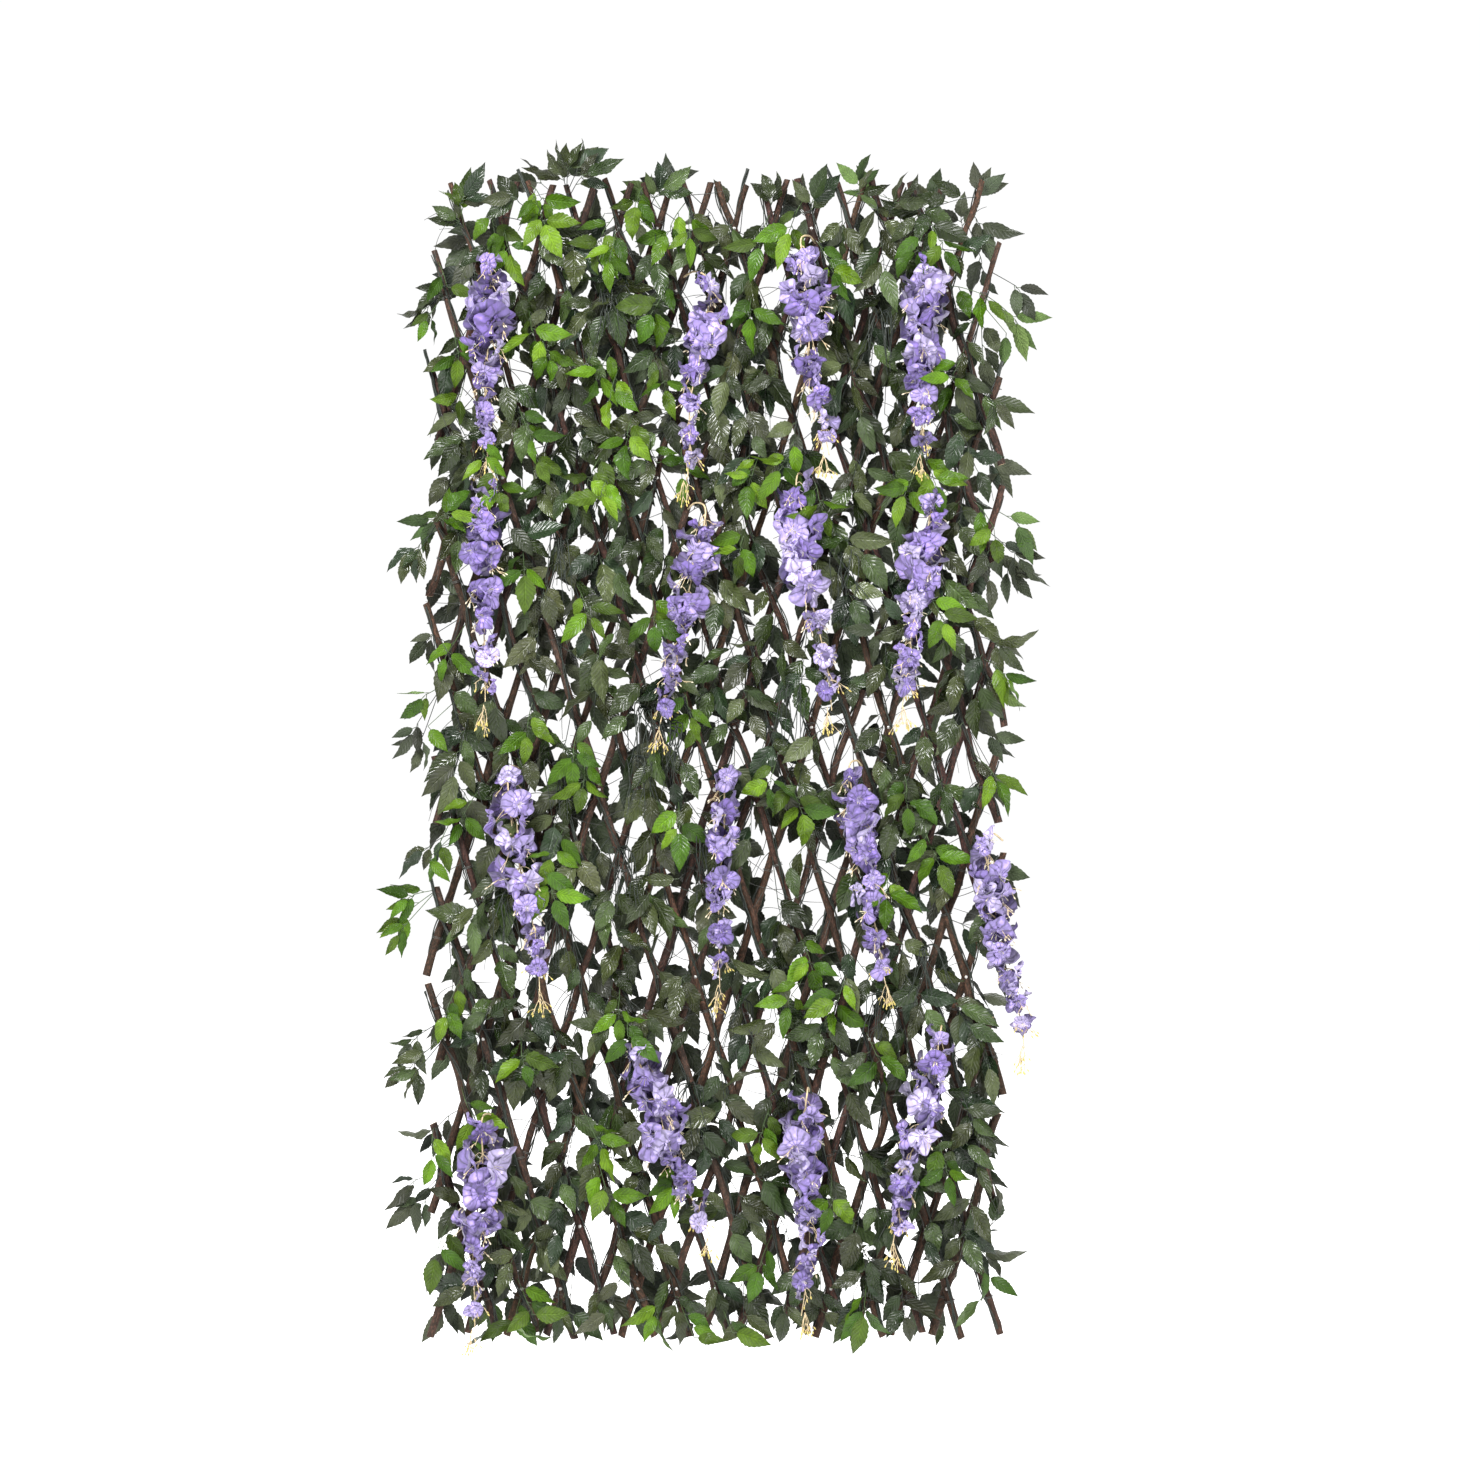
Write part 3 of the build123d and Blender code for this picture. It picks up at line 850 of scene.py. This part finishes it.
    def strand(self, place, row):
        """One of a bundle of thick dark stems that start at the rod and hang in front of the leaves."""
        start = self.rod.centre(row)
        top = place + np.array([dice.normal(0, 0.013), 0, dice.normal(0, 0.009)])
        top[1] = -0.046 - dice.uniform(0, 0.016)
        lean = dice.normal(0, 0.25)
        points = [start, (start + top) / 2 + np.array([0, -0.010, 0.006]), top]
        for share in (0.35, 0.7, 1.0):
            drop = share * dice.uniform(0.06, 0.11)
            aside = lean * drop + dice.normal(0, 0.002)
            points.append(top + np.array([aside, dice.uniform(-0.008, 0.002), -drop]))
        self.tube(smooth_path(points, 4), *STRAND)

    def main_stems(self):
        """The stems that wind along the rod, outside it: three for a vine, or else two."""
        rod = self.rod
        rows = np.arange(rod.low + 0.1, rod.high + (0.3 if rod.has_vine else -0.05), 0.09)
        if rod.has_vine:
            sway = STEM_SWAY * (np.abs(rows % 4 - 2) - 1)
            stem, phases = VINE, (0.0, 2.0, 4.0)
        else:
            start = dice.uniform(0, 2 * pi)
            sway = 0.0085 * np.sin(rows * dice.uniform(1.2, 2.2) + start)
            stem, phases = BRANCH, (0.0, 2.6)
        for phase in phases:
            across = sway + 0.0018 * np.cos(rows * 7 + phase)
            hump = np.sqrt(np.maximum(0, 1 - (across / 0.0085) ** 2))
            off = rod.width(rows) / 2 * hump + stem[0] + 0.0016 + 0.0014 * np.sin(rows * 7 + phase)
            path = rod.centre(rows, across, off)
            self.tube(smooth_path(path, 2), *stem)
            fields[rod.side].fill(path)

    def tie(self, row):
        """A twist of wire round the rod and its stem."""
        rod = self.rod
        turns = np.linspace(0, 4 * pi, TIE_POINTS)
        half = rod.width(row) / 2
        rows = row + np.linspace(-0.02, 0.02, TIE_POINTS)
        across = (half + 0.0022) * np.cos(turns)
        depth = np.maximum((half + 0.0022) * np.sin(turns), -half + 0.0004)
        path = rod.at(rows, rod.bow(rows) + across, GAP / 2 + half + depth)
        self.tube(path, *TIE)


foliage = {key: Foliage(rod) for key, rod in rods.items()}

# Racemes: each one's spray node, rod, top and tip pixels, widest radius, and how pale it is
RACEMES = (
    (1, "back", -10, (491, 266), (488, 468), 0.050, 0.25),
    (2, "back", -8, (486, 492), (486, 716), 0.050, 0.35),
    (3, "back", -5, (708, 288), (684, 486), 0.046, 0.35),
    (3, "back", -5, (510, 774), (542, 996), 0.051, 0.30),
    (4, "back", -3, (706, 516), (658, 735), 0.045, 0.40),
    (4, "back", -3, (484, 1120), (474, 1335), 0.050, 0.50),
    (5, "back", 0, (796, 484), (828, 718), 0.050, 0.35),
    (5, "back", 0, (724, 778), (718, 992), 0.045, 0.45),
    (5, "back", 0, (634, 1048), (712, 1240), 0.054, 0.55),
    (6, "back", 1, (928, 268), (918, 466), 0.050, 0.35),
    (7, "back", 3, (930, 504), (900, 714), 0.050, 0.40),
    (8, "front", 0, (806, 1096), (804, 1318), 0.053, 0.50),
    (9, "front", 4, (848, 772), (886, 990), 0.047, 0.45),
    (9, "front", 4, (938, 1034), (890, 1246), 0.050, 0.60),
    (10, "front", 7, (800, 250), (824, 464), 0.052, 0.30),
    (10, "front", 7, (980, 844), (1022, 1052), 0.045, 0.75),
)
RACEME_DEPTH = -0.066
FLOWER_BACK, PETAL_BACK = RACEME_DEPTH + 0.030, RACEME_DEPTH + 0.040  # how far back each may lie
WHORL_WIDTHS = ((0, 0.12, 0.3, 0.45, 0.58, 0.8, 1), (0.52, 0.98, 1.10, 0.98, 0.68, 0.56, 0.46))
WHORL_BLOOMS = ((0, 0.3, 0.6, 1), (3, 5, 4, 3))
BUD_LENGTH = 0.006
BUD_RADII = np.array([0.0004, 0.0012, 0.0014, 0.0010, 0.0002])
CREAM = (0.60, 0.47, 0.28)
STALK = (0.0018, PEDICEL, 7, CREAM, 0.5)
FLOWER_STALK = (0.0009, PEDICEL, 4, CREAM, 0.7)
BUD_BRANCH = (0.0007, PEDICEL, 4, CREAM, 0.6)
BUD_STALK = (0.0005, PEDICEL, 4, CREAM, 1.0)
STAMEN = (0.00045, PEDICEL, 4, (0.72, 0.66, 0.42), 1.0)
TIP_BUD = (BUD_RADII, PEDICEL, 5, (0.52, 0.42, 0.12), 1.0)
SIDE_BUD = (BUD_RADII, PEDICEL, 5, (0.62, 0.54, 0.40), 1.0)
TUFT_BRANCHES, TUFT_WIDTH = 6, 0.024
FLOWER_TONES = (
    (0.120, 0.070, 0.290), (0.190, 0.130, 0.380), (0.070, 0.036, 0.195), (0.260, 0.200, 0.450),
    (0.360, 0.305, 0.520),
)
PALE_FLOWER = np.array([0.42, 0.37, 0.60])


def flower_sheet(dice, radius, lobes, cup, rings, around):
    """A pleated, ruffled sheet of petals round the origin, opening along Z."""
    run = np.linspace(0.06, 1, rings)[:, None]
    turn = np.linspace(0, 2 * pi, around + 1)
    phase = dice.uniform(0, 2 * pi, 3)
    sizes = 1 + 0.16 * np.sin(turn + phase[2])
    lobe = 0.70 + 0.30 * np.abs(np.cos(lobes / 2 * (turn + phase[0]))) ** 0.45
    lobe = lobe * (1 + 0.14 * np.sin(2 * turn + phase[1]) + 0.03 * np.sin(9 * turn + phase[2]))
    reach = radius * run * (1 + (lobe - 1) * run**1.2) * sizes
    ruffle = 0.24 * np.sin(lobes * turn + phase[1]) + 0.09 * np.sin(8 * turn + phase[2])
    height = cup * radius * (run**1.3) * (1 - 0.42 * run**2)
    height = height + radius * run**2 * ruffle
    height = height - 0.22 * radius * run**4
    points = grid_rows(reach * np.cos(turn), reach * np.sin(turn), height)
    return points, grid_faces(rings, around + 1), grid_rows(run, turn, 0.0)


class Raceme(Piece):
    """One raceme: a hooked stalk with whorls of flowers, and a tuft of buds at its tip."""

    def __init__(self, index, rod, top, tip, radius, pale):
        super().__init__(f"wisteria_{index + 1:02d}")
        self.dice = np.random.default_rng(RACEME_SEED + index)
        self.rod, self.radius, self.pale = rod, radius, pale
        self.start, self.end = spot(*top), spot(*tip)
        self.start[1] = self.end[1] = RACEME_DEPTH
        self.length = np.linalg.norm(self.end - self.start)
        self.axis = (self.end - self.start) / self.length
        self.sway = self.dice.uniform(-0.011, 0.011)
        self.waves = self.dice.uniform(0.6, 1.6)
        self.add_stalk()
        whorls = int(self.dice.integers(7, 9))
        for whorl in range(whorls):
            self.add_whorl((whorl + 0.25) / whorls)
        for _ in range(TUFT_BRANCHES):
            root = self.end - self.axis * self.length * self.dice.uniform(0.0, 0.05)
            self.add_bud_branch(root, TUFT_WIDTH, 1.0)

    def middle(self, share, stretch=1.0):
        """The middle of the swaying raceme, a share of the way down."""
        sway = np.array([self.sway * sin(2 * pi * self.waves * share), 0, 0])
        return self.start + self.axis * self.length * share * stretch + sway

    def add_stalk(self):
        """The stalk, whose hook starts at the nearest point of its rod."""
        row = self.start[2] / ROW_HEIGHT
        rows = np.linspace(row - 0.5, row + 0.5, 41)
        away = self.rod.centre(rows)[:, [0, 2]] - self.start[[0, 2]]
        seat = self.rod.centre(rows[np.argmin(np.linalg.norm(away, axis=1))])
        hook = [seat, (seat + self.start) / 2 + UP * 0.016, self.start + UP * 0.004]
        spine = [self.middle(share) + AWAY * 0.012 for share in (0.2, 0.4, 0.6, 0.8, 0.97)]
        self.tube(smooth_path(hook + spine, 6), *STALK)

    def add_whorl(self, share):
        """A ring of flowers round the stalk, with fine bud branches between them."""
        dice = self.dice
        centre = self.middle(share, 0.94)
        profile = np.interp(share, *WHORL_WIDTHS)
        width = 0.90 * self.radius * profile * dice.uniform(0.80, 1.12)
        blooms = int(round(np.interp(share, *WHORL_BLOOMS)))
        first = pi / 2 + dice.uniform(-0.5, 0.5)
        for bloom in range(blooms):
            turn = first + bloom * 2 * pi / blooms + dice.uniform(-0.3, 0.3)
            self.add_bloom(centre, share, width, turn)
        for _ in range(3):
            self.add_bud_branch(centre, width, share)

    def add_bloom(self, centre, share, width, turn):
        """One flower and its stalk, at a turn round the whorl. Those behind the stalk get painted shade: a
        darker tone.
        """
        dice = self.dice
        radius = width * dice.uniform(0.46, 0.70) + 0.0055
        away = np.array([cos(turn), -sin(turn) * 0.66, 0])
        drop = dice.uniform(-0.020, 0.020)
        place = centre + away * max(width * dice.uniform(0.8, 1.12) - radius * 0.86, 0.004) + UP * drop
        place[1] = min(place[1], FLOWER_BACK)
        way = away + np.array([dice.normal(0, 0.3), dice.normal(-0.18, 0.2), dice.uniform(-1.0, 0.05)])
        root = centre + UP * 0.010
        bend = (root + place) / 2 + UP * 0.004
        self.tube(smooth_path([root, bend, place], 3), *FLOWER_STALK)
        pale = min(self.pale + 0.35 * share, 1.0) * dice.uniform(0.4, 1.3)
        # Flowers behind the stalk get painted shade: 0.55 of their tone.
        self.add_flower(place, unit(way), radius, pale, 0.55 if sin(turn) < -0.2 else 1.0)

    def add_flower(self, place, way, radius, pale, shade):
        """A flower of two sheets of petals, one inside the other, and three stamens. Its tone is darkened by
        painted shade when it lies behind the stalk.
        """
        dice = self.dice
        side = unit(np.cross(way, (0.2, 0.9, 0.4)))
        axes = np.stack([side, np.cross(way, side), way])
        tone = np.array(FLOWER_TONES[dice.integers(len(FLOWER_TONES))])
        tone = tone * (1 - pale * 0.3) + PALE_FLOWER * pale * 0.3
        # shade is painted shade, below 1 for the flowers behind the stalk.
        tone = tone * dice.uniform(0.78, 1.06) * shade
        cup = dice.choice([0.25, 0.55, 0.9])
        sheets = (
            (1.0, int(dice.integers(3, 5)), cup, 0.0, 1.0, (7, 48)),
            (0.52, 3, cup * 1.5, 0.0018, 1.15, (5, 30)),
        )
        for scale, lobes, depth, raised, light, grid in sheets:
            points, faces, places = flower_sheet(dice, radius * scale, lobes, depth, *grid)
            placed = place + (points + UP * raised) @ axes
            placed[:, 1] = np.minimum(placed[:, 1], PETAL_BACK)
            self.add(placed, faces, PETAL, places, (tone * light).clip(0, 0.9))
        for _ in range(3):
            turn = dice.uniform(0, 2 * pi)
            lean = side * cos(turn) + axes[1] * sin(turn)
            tip = place + way * radius * dice.uniform(0.35, 0.6) + lean * radius * 0.22
            self.tube([place, (place + tip) / 2 + lean * 0.001, tip], *STAMEN)

    def add_bud_branch(self, root, width, share):
        """A fine cream branch with a few small buds."""
        dice = self.dice
        turn = dice.uniform(0, 2 * pi)
        fall = dice.uniform(-3.6, -1.6) if share == 1.0 else dice.uniform(-1.3, -0.3)
        away = np.array([cos(turn), -sin(turn) * 0.7, fall])
        tip = root + unit(away) * ((width * 0.75 + 0.010) * dice.uniform(0.6, 1.1))
        middle = (root + tip) / 2 + UP * 0.003
        self.tube(smooth_path([root, middle, tip], 3), *BUD_BRANCH)
        for _ in range(3 if share > 0.9 else 2):
            end = tip + np.array([dice.normal(0, 0.005), dice.normal(0, 0.003), dice.uniform(-0.011, 0.002)])
            ahead = unit(end - middle)
            self.tube([middle * 0.3 + tip * 0.7, end], *BUD_STALK)
            bud = [end + ahead * along * BUD_LENGTH for along in (0, 0.25, 0.5, 0.75, 1)]
            self.tube(bud, *(TIP_BUD if share > 0.8 else SIDE_BUD))


def hanging_bodies(place):
    """What a raceme hangs from: the rods of the joint that strays least from its place at both limits."""
    stretches = [(sin(angle) / sin(LEAN), cos(angle) / cos(LEAN)) for angle in (FOLDED, OPENED)]

    def stray(joint):
        away = place - joint["pos_m"]
        return max(np.hypot(away[0] * (wide - 1), away[2] * (high - 1)) / wide for wide, high in stretches)

    joint = min(frame["joints"], key=stray)
    still = joint["parent"] == "centre_rivet"
    return joint["parent"] if still else (joint["parent"], joint["child"])


for index, (spray, layer, number, top, tip, radius, pale) in enumerate(RACEMES):
    raceme = Raceme(index, rods[layer, number], top, tip, radius, pale)
    raceme.build(hanging_bodies(spot(*top)), "blossom", [f"wisteria_spray_{spray:02d}"])

# Foliage: pixels of bright sprigs, of edge sprigs' tips, with their angles from X, and of strands
BRIGHT_SPOTS = (
    (495, 215), (510, 240), (450, 280), (542, 190), (545, 212), (600, 235), (612, 250), (637, 195),
    (670, 220), (690, 225), (760, 235), (790, 220), (830, 260), (915, 245), (940, 235), (1000, 285),
    (535, 325), (550, 345), (750, 305), (600, 365), (612, 385), (665, 375), (950, 370), (655, 300),
    (460, 345), (462, 385), (486, 450), (500, 478), (440, 515), (532, 425), (538, 447), (590, 470),
    (602, 488), (628, 430), (660, 455), (682, 462), (750, 470), (782, 455), (820, 495), (905, 480),
    (932, 470), (992, 520), (526, 560), (740, 540), (590, 600), (655, 610), (940, 605), (422, 720),
    (450, 640), (465, 805), (440, 835), (425, 850), (555, 840), (555, 880), (575, 745), (585, 770),
    (530, 720), (680, 815), (800, 795), (770, 770), (905, 790), (935, 845), (885, 880), (810, 950),
    (790, 985), (835, 990), (450, 995), (525, 1045), (620, 1000), (630, 1025), (880, 1050), (475, 1105),
    (435, 1140), (760, 1120), (600, 1125), (610, 1180), (675, 1175), (945, 1155), (830, 1185), (430, 1250),
    (515, 1310), (535, 1295), (695, 1320), (735, 1320), (760, 1250), (700, 730), (690, 700),
)
EDGE_SPOTS = (
    (374, 925, 215), (380, 890, 190), (378, 940, 235), (385, 1045, 205), (383, 1075, 225), (394, 1085, 240),
    (380, 1185, 200), (386, 1215, 230), (400, 1225, 250), (408, 285, 190), (400, 325, 215), (412, 340, 240),
    (398, 520, 190), (390, 560, 215), (402, 575, 240), (396, 700, 200), (392, 745, 225), (404, 760, 245),
    (398, 640, 205), (396, 850, 200), (404, 1140, 215), (1050, 290, 340), (1048, 325, 325), (1036, 350, 300),
    (1050, 528, 340), (1046, 562, 325), (1034, 585, 300), (1024, 650, 345), (1028, 690, 325),
    (1014, 712, 300), (1024, 740, 340), (1018, 790, 310), (1020, 880, 320), (1012, 1265, 330),
    (1006, 1300, 300), (994, 1320, 285), (1010, 1010, 330), (1004, 1100, 310), (1006, 240, 330),
    (1000, 1190, 320), (1016, 420, 320), (1022, 470, 340), (447, 190, 120), (462, 176, 75), (478, 172, 50),
    (520, 150, 130), (556, 146, 115), (574, 136, 80), (594, 140, 70), (606, 152, 55), (640, 160, 110),
    (662, 150, 95), (676, 160, 60), (862, 146, 95), (850, 162, 135), (880, 165, 50), (986, 153, 70),
    (930, 165, 100), (770, 168, 80), (720, 168, 110), (492, 178, 140), (815, 168, 75), (905, 172, 70),
    (960, 180, 80), (790, 176, 120), (935, 1345, 270), (715, 1342, 265), (440, 1340, 260), (560, 1332, 280),
    (640, 1328, 250), (860, 1332, 275), (500, 1330, 270), (780, 1330, 265), (820, 1335, 285),
    (980, 1325, 280),
)
STRAND_SPOTS = (
    (645, 712), (660, 722), (675, 730), (640, 760), (566, 765), (706, 838), (622, 850), (558, 915),
    (795, 690), (878, 1000), (742, 1000), (506, 895), (926, 950), (690, 1085), (560, 545), (845, 560),
    (610, 300), (880, 320),
)
LEFT_PIXELS, TOP_PIXELS = 430, 200  # left of and above these the edge sprigs have smaller leaves
LEFT_LEAF, TOP_LEAF, EDGE_LEAF, BRIGHT_LENGTH, DARK_LENGTH = 0.056, 0.062, 0.068, 0.060, 0.071
SLIM_KINDS, TOP_KINDS = (0, LEAF_KINDS // 3), (10, 32)
SIDES, ENDS = (-0.492, 0.520), (-0.965, 1.08)  # past which only the edge sprigs reach
OWN_PITCHES, OTHER_PITCH = {1: 0.110, -1: 0.108}, 0.19  # between a face's sprigs, on its own rods and others
WIDE_STANCE, CLOSE_STANCE = 1.14, 0.86
raceme_lines = [(spot(*top), spot(*tip)) for _, _, _, top, tip, _, _ in RACEMES]


def near_raceme(place):
    """Whether a place is behind the flowers of a raceme, which is narrower towards its tip."""
    for top, tip in raceme_lines:
        share = (top[2] - place[2]) / (top[2] - tip[2])
        x = top[0] + (tip[0] - top[0]) * share
        if -0.05 < share < 1.02 and abs(place[0] - x) < 0.050 * (1 - 0.45 * max(share, 0)):
            return True
    return False


def nearest_rod(place, layers=("front", "back"), away=0.0):
    """The key and row of the rod whose centre is nearest to a place, or about that far from it."""
    found = []
    for key, rod in rods.items():
        for step in (-0.7, -0.35, 0.0, 0.35, 0.7) if key[0] in layers else ():
            row = min(max(place[2] / ROW_HEIGHT + step, rod.low + 0.05), rod.high - 0.05)
            centre = rod.centre(row)
            off = abs(np.hypot(centre[0] - place[0], centre[2] - place[2]) - away)
            found.append((off, key, row))
    return min(found, key=lambda entry: entry[0])[1:]


def lead_to(key, row, place):
    """The way in the screen's plane from a rod's centre to a place."""
    lead = place - rods[key].centre(row)
    lead[1] = 0
    return lead


def stance(face, row):
    """The sprigs of the front stand closer together high up, and all stand further apart low down."""
    if face < 0 and row > 3:
        return CLOSE_STANCE
    return WIDE_STANCE if row < 0.5 else 1.0


def sprig_slope(rod):
    """A sprig's angle from X: mostly down along its rod, or else to either side."""
    if dice.random() < 0.62:
        return atan2(-rod.up[2], -rod.up[0]) + dice.normal(0, 0.22)
    slope = radians(dice.choice([-70, -45, -15, 20], p=[0.3, 0.3, 0.25, 0.15]) + dice.normal(0, 14))
    return slope if dice.random() < 0.5 else pi - slope


def dark_sprigs(key, face):
    """The dark sprigs on one face that grow from one rod."""
    rod = rods[key]
    pitch = OWN_PITCHES[face] if rod.side == face else OTHER_PITCH
    row = rod.low + 0.15
    while row < rod.high - 0.05:
        row += pitch * dice.uniform(0.7, 1.3) * stance(face, row) / SPACING
        if row > rod.high - 0.02:
            break
        way = in_plane(sprig_slope(rod))
        count = int(dice.integers(3, 7))
        target = rod.centre(row) + way * (LEAF_PITCH * count + 0.02)
        if not SIDES[0] < target[0] < SIDES[1] or not ENDS[0] < target[2] < ENDS[1]:
            continue
        if face < 0 and near_raceme(target) and dice.random() < 0.55:
            continue
        tones = DRY_TONES if dice.random() < 0.03 else DARK_TONES
        foliage[key].sprig(row, way, count, LeafStyle(DARK_LEAF, tones, DARK_LENGTH, face))


def edge_sprig(px, py, angle):
    """A sprig that reaches past the lattice to a pixel, at that angle."""
    tip = spot(px, py)
    key, row = nearest_rod(tip - in_plane(radians(angle)) * 0.095)
    lead = lead_to(key, row, tip)
    reach = max(np.linalg.norm(lead) - 0.055, 0.02)
    green = dice.random() < 0.35
    count = int(dice.integers(3, 5))
    high = py < TOP_PIXELS
    style = LeafStyle(
        BRIGHT_LEAF if green else DARK_LEAF, BRIGHT_TONES if green else DARK_TONES,
        LEFT_LEAF if px < LEFT_PIXELS else TOP_LEAF if high else EDGE_LEAF,
        rods[key].side, spread=0.50, loose=0.6, most=0.07, limits=LIMITS,
        kinds=TOP_KINDS if high else SLIM_KINDS, tries=4,
    )
    foliage[key].sprig(row, lead, count, style, reach)


def bright_sprig(px, py):
    """A bright sprig in front, whose leaves surround a pixel."""
    place = spot(px, py)
    key, row = nearest_rod(place + UP * 0.035, ("front",), 0.012)
    lead = lead_to(key, row, place)
    reach = min(max(np.linalg.norm(lead) + 0.012, 0.03), 0.07)
    style = LeafStyle(BRIGHT_LEAF, BRIGHT_TONES, BRIGHT_LENGTH, -1, spread=0.8, most=0.062, tries=2)
    foliage[key].sprig(row, lead + DOWN * 0.01, int(dice.integers(4, 6)), style, reach)


for leaves in foliage.values():
    leaves.main_stems()
    for row in np.arange(leaves.rod.low + 0.6, leaves.rod.high - 0.3, 2.3):
        leaves.tie(row)
for face in (1, -1):
    for key in foliage:
        dark_sprigs(key, face)
for px, py, angle in EDGE_SPOTS:
    edge_sprig(px, py, angle)
for px, py in BRIGHT_SPOTS:
    bright_sprig(px, py)
for px, py in STRAND_SPOTS:
    key, row = nearest_rod(spot(px, py), ("front",))
    for _ in range(int(dice.integers(7, 12))):
        foliage[key].strand(spot(px, py), row)
for leaves in foliage.values():
    low, high = leaves.rod.low, leaves.rod.high
    for row in np.arange(low + 0.4, high - 0.2, 0.7):
        row = row + dice.uniform(-0.4, 0.4)
        if low + 0.1 < row < high - 0.1:
            leaves.wire(row)
for leaves in foliage.values():
    vines = [leaves.rod.name.replace("rod", "vine")] if leaves.rod.has_vine else []
    leaves.build(leaves.rod.name, "leaf", vines)

# Camera, lights and floor

LENS = 98.0
LIGHTS = (
    ("key", (-1.6, -3.8, 3.0), (0, 0, 0.1), 1.9, 440),
    ("fill", (3.0, -3.4, 1.0), (0, 0, 0), 2.0, 140),
    ("back", (0.5, 3.2, 3.2), (0, 0, 0.2), 2.0, 160),
)
WORLD_LIGHT, WORLD_SEEN = 0.38, 1.02  # the world's strength as a light, and as seen directly or in a gloss
FLOOR_REACH, FLOOR_DROP, FLOOR_GLOW = 14.0, 0.050, 0.80


def area_light(name, place, target, size, power):
    """A round soft light at a place, aimed at a target."""
    data = bpy.data.lights.new(name, "AREA")
    data.shape = "DISK"
    data.size = size
    data.energy = power
    light = new_object(name, data)
    way = np.array(target, float) - np.array(place, float)
    light.location = place
    light.rotation_euler = (atan2(np.hypot(way[0], way[1]), -way[2]), 0, atan2(way[1], way[0]) - pi / 2)


def white_world():
    """A world that is seen as white, and lights the scene less than that."""
    world = bpy.data.worlds.new("studio")
    world.use_nodes = True
    nodes = Nodes(world.node_tree)
    ray = nodes.node("ShaderNodeLightPath")
    seen = Link(nodes, ray, "Is Camera Ray").math("MAXIMUM", Link(nodes, ray, "Is Glossy Ray"))
    strength = nodes.link("Result", "ShaderNodeMapRange", (), (seen,), To_Min=WORLD_LIGHT, To_Max=WORLD_SEEN)
    backdrop = nodes.tree.nodes["Background"]
    nodes.put(backdrop, "Color", (1, 1, 1, 1))
    nodes.put(backdrop, "Strength", strength)
    return world


camera_data = bpy.data.cameras.new("camera")
camera_data.lens = LENS
camera_data.clip_end = 100
camera = new_object("camera", camera_data)
middle = spot(PHOTO_WIDTH / 2, PHOTO_WIDTH / 2)
distance = PHOTO_WIDTH * PIXEL * camera_data.lens / camera_data.sensor_width
camera.location = (middle[0], -distance, middle[2])
camera.rotation_euler = (pi / 2, 0, 0)
bpy.context.scene.camera = camera

for light in LIGHTS:
    area_light(*light)
bpy.context.scene.world = white_world()
bpy.context.scene.view_settings.view_transform = "Standard"

height = float(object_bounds()[0][2]) - FLOOR_DROP
corners = [(x * FLOOR_REACH, y * FLOOR_REACH, height) for x, y in ((-1, -1), (1, -1), (1, 1), (-1, 1))]
floor_mesh = bpy.data.meshes.new("floor")
floor_mesh.from_pydata(corners, [], [(0, 1, 2, 3)])
floor = new_object("floor", floor_mesh)
pale = Look("pale_floor", Roughness=0.9, Emission_Color=(1, 1, 1, 1), Emission_Strength=FLOOR_GLOW)
pale.colour((0.9, 0.9, 0.9, 1))
floor_mesh.materials.append(pale.material)
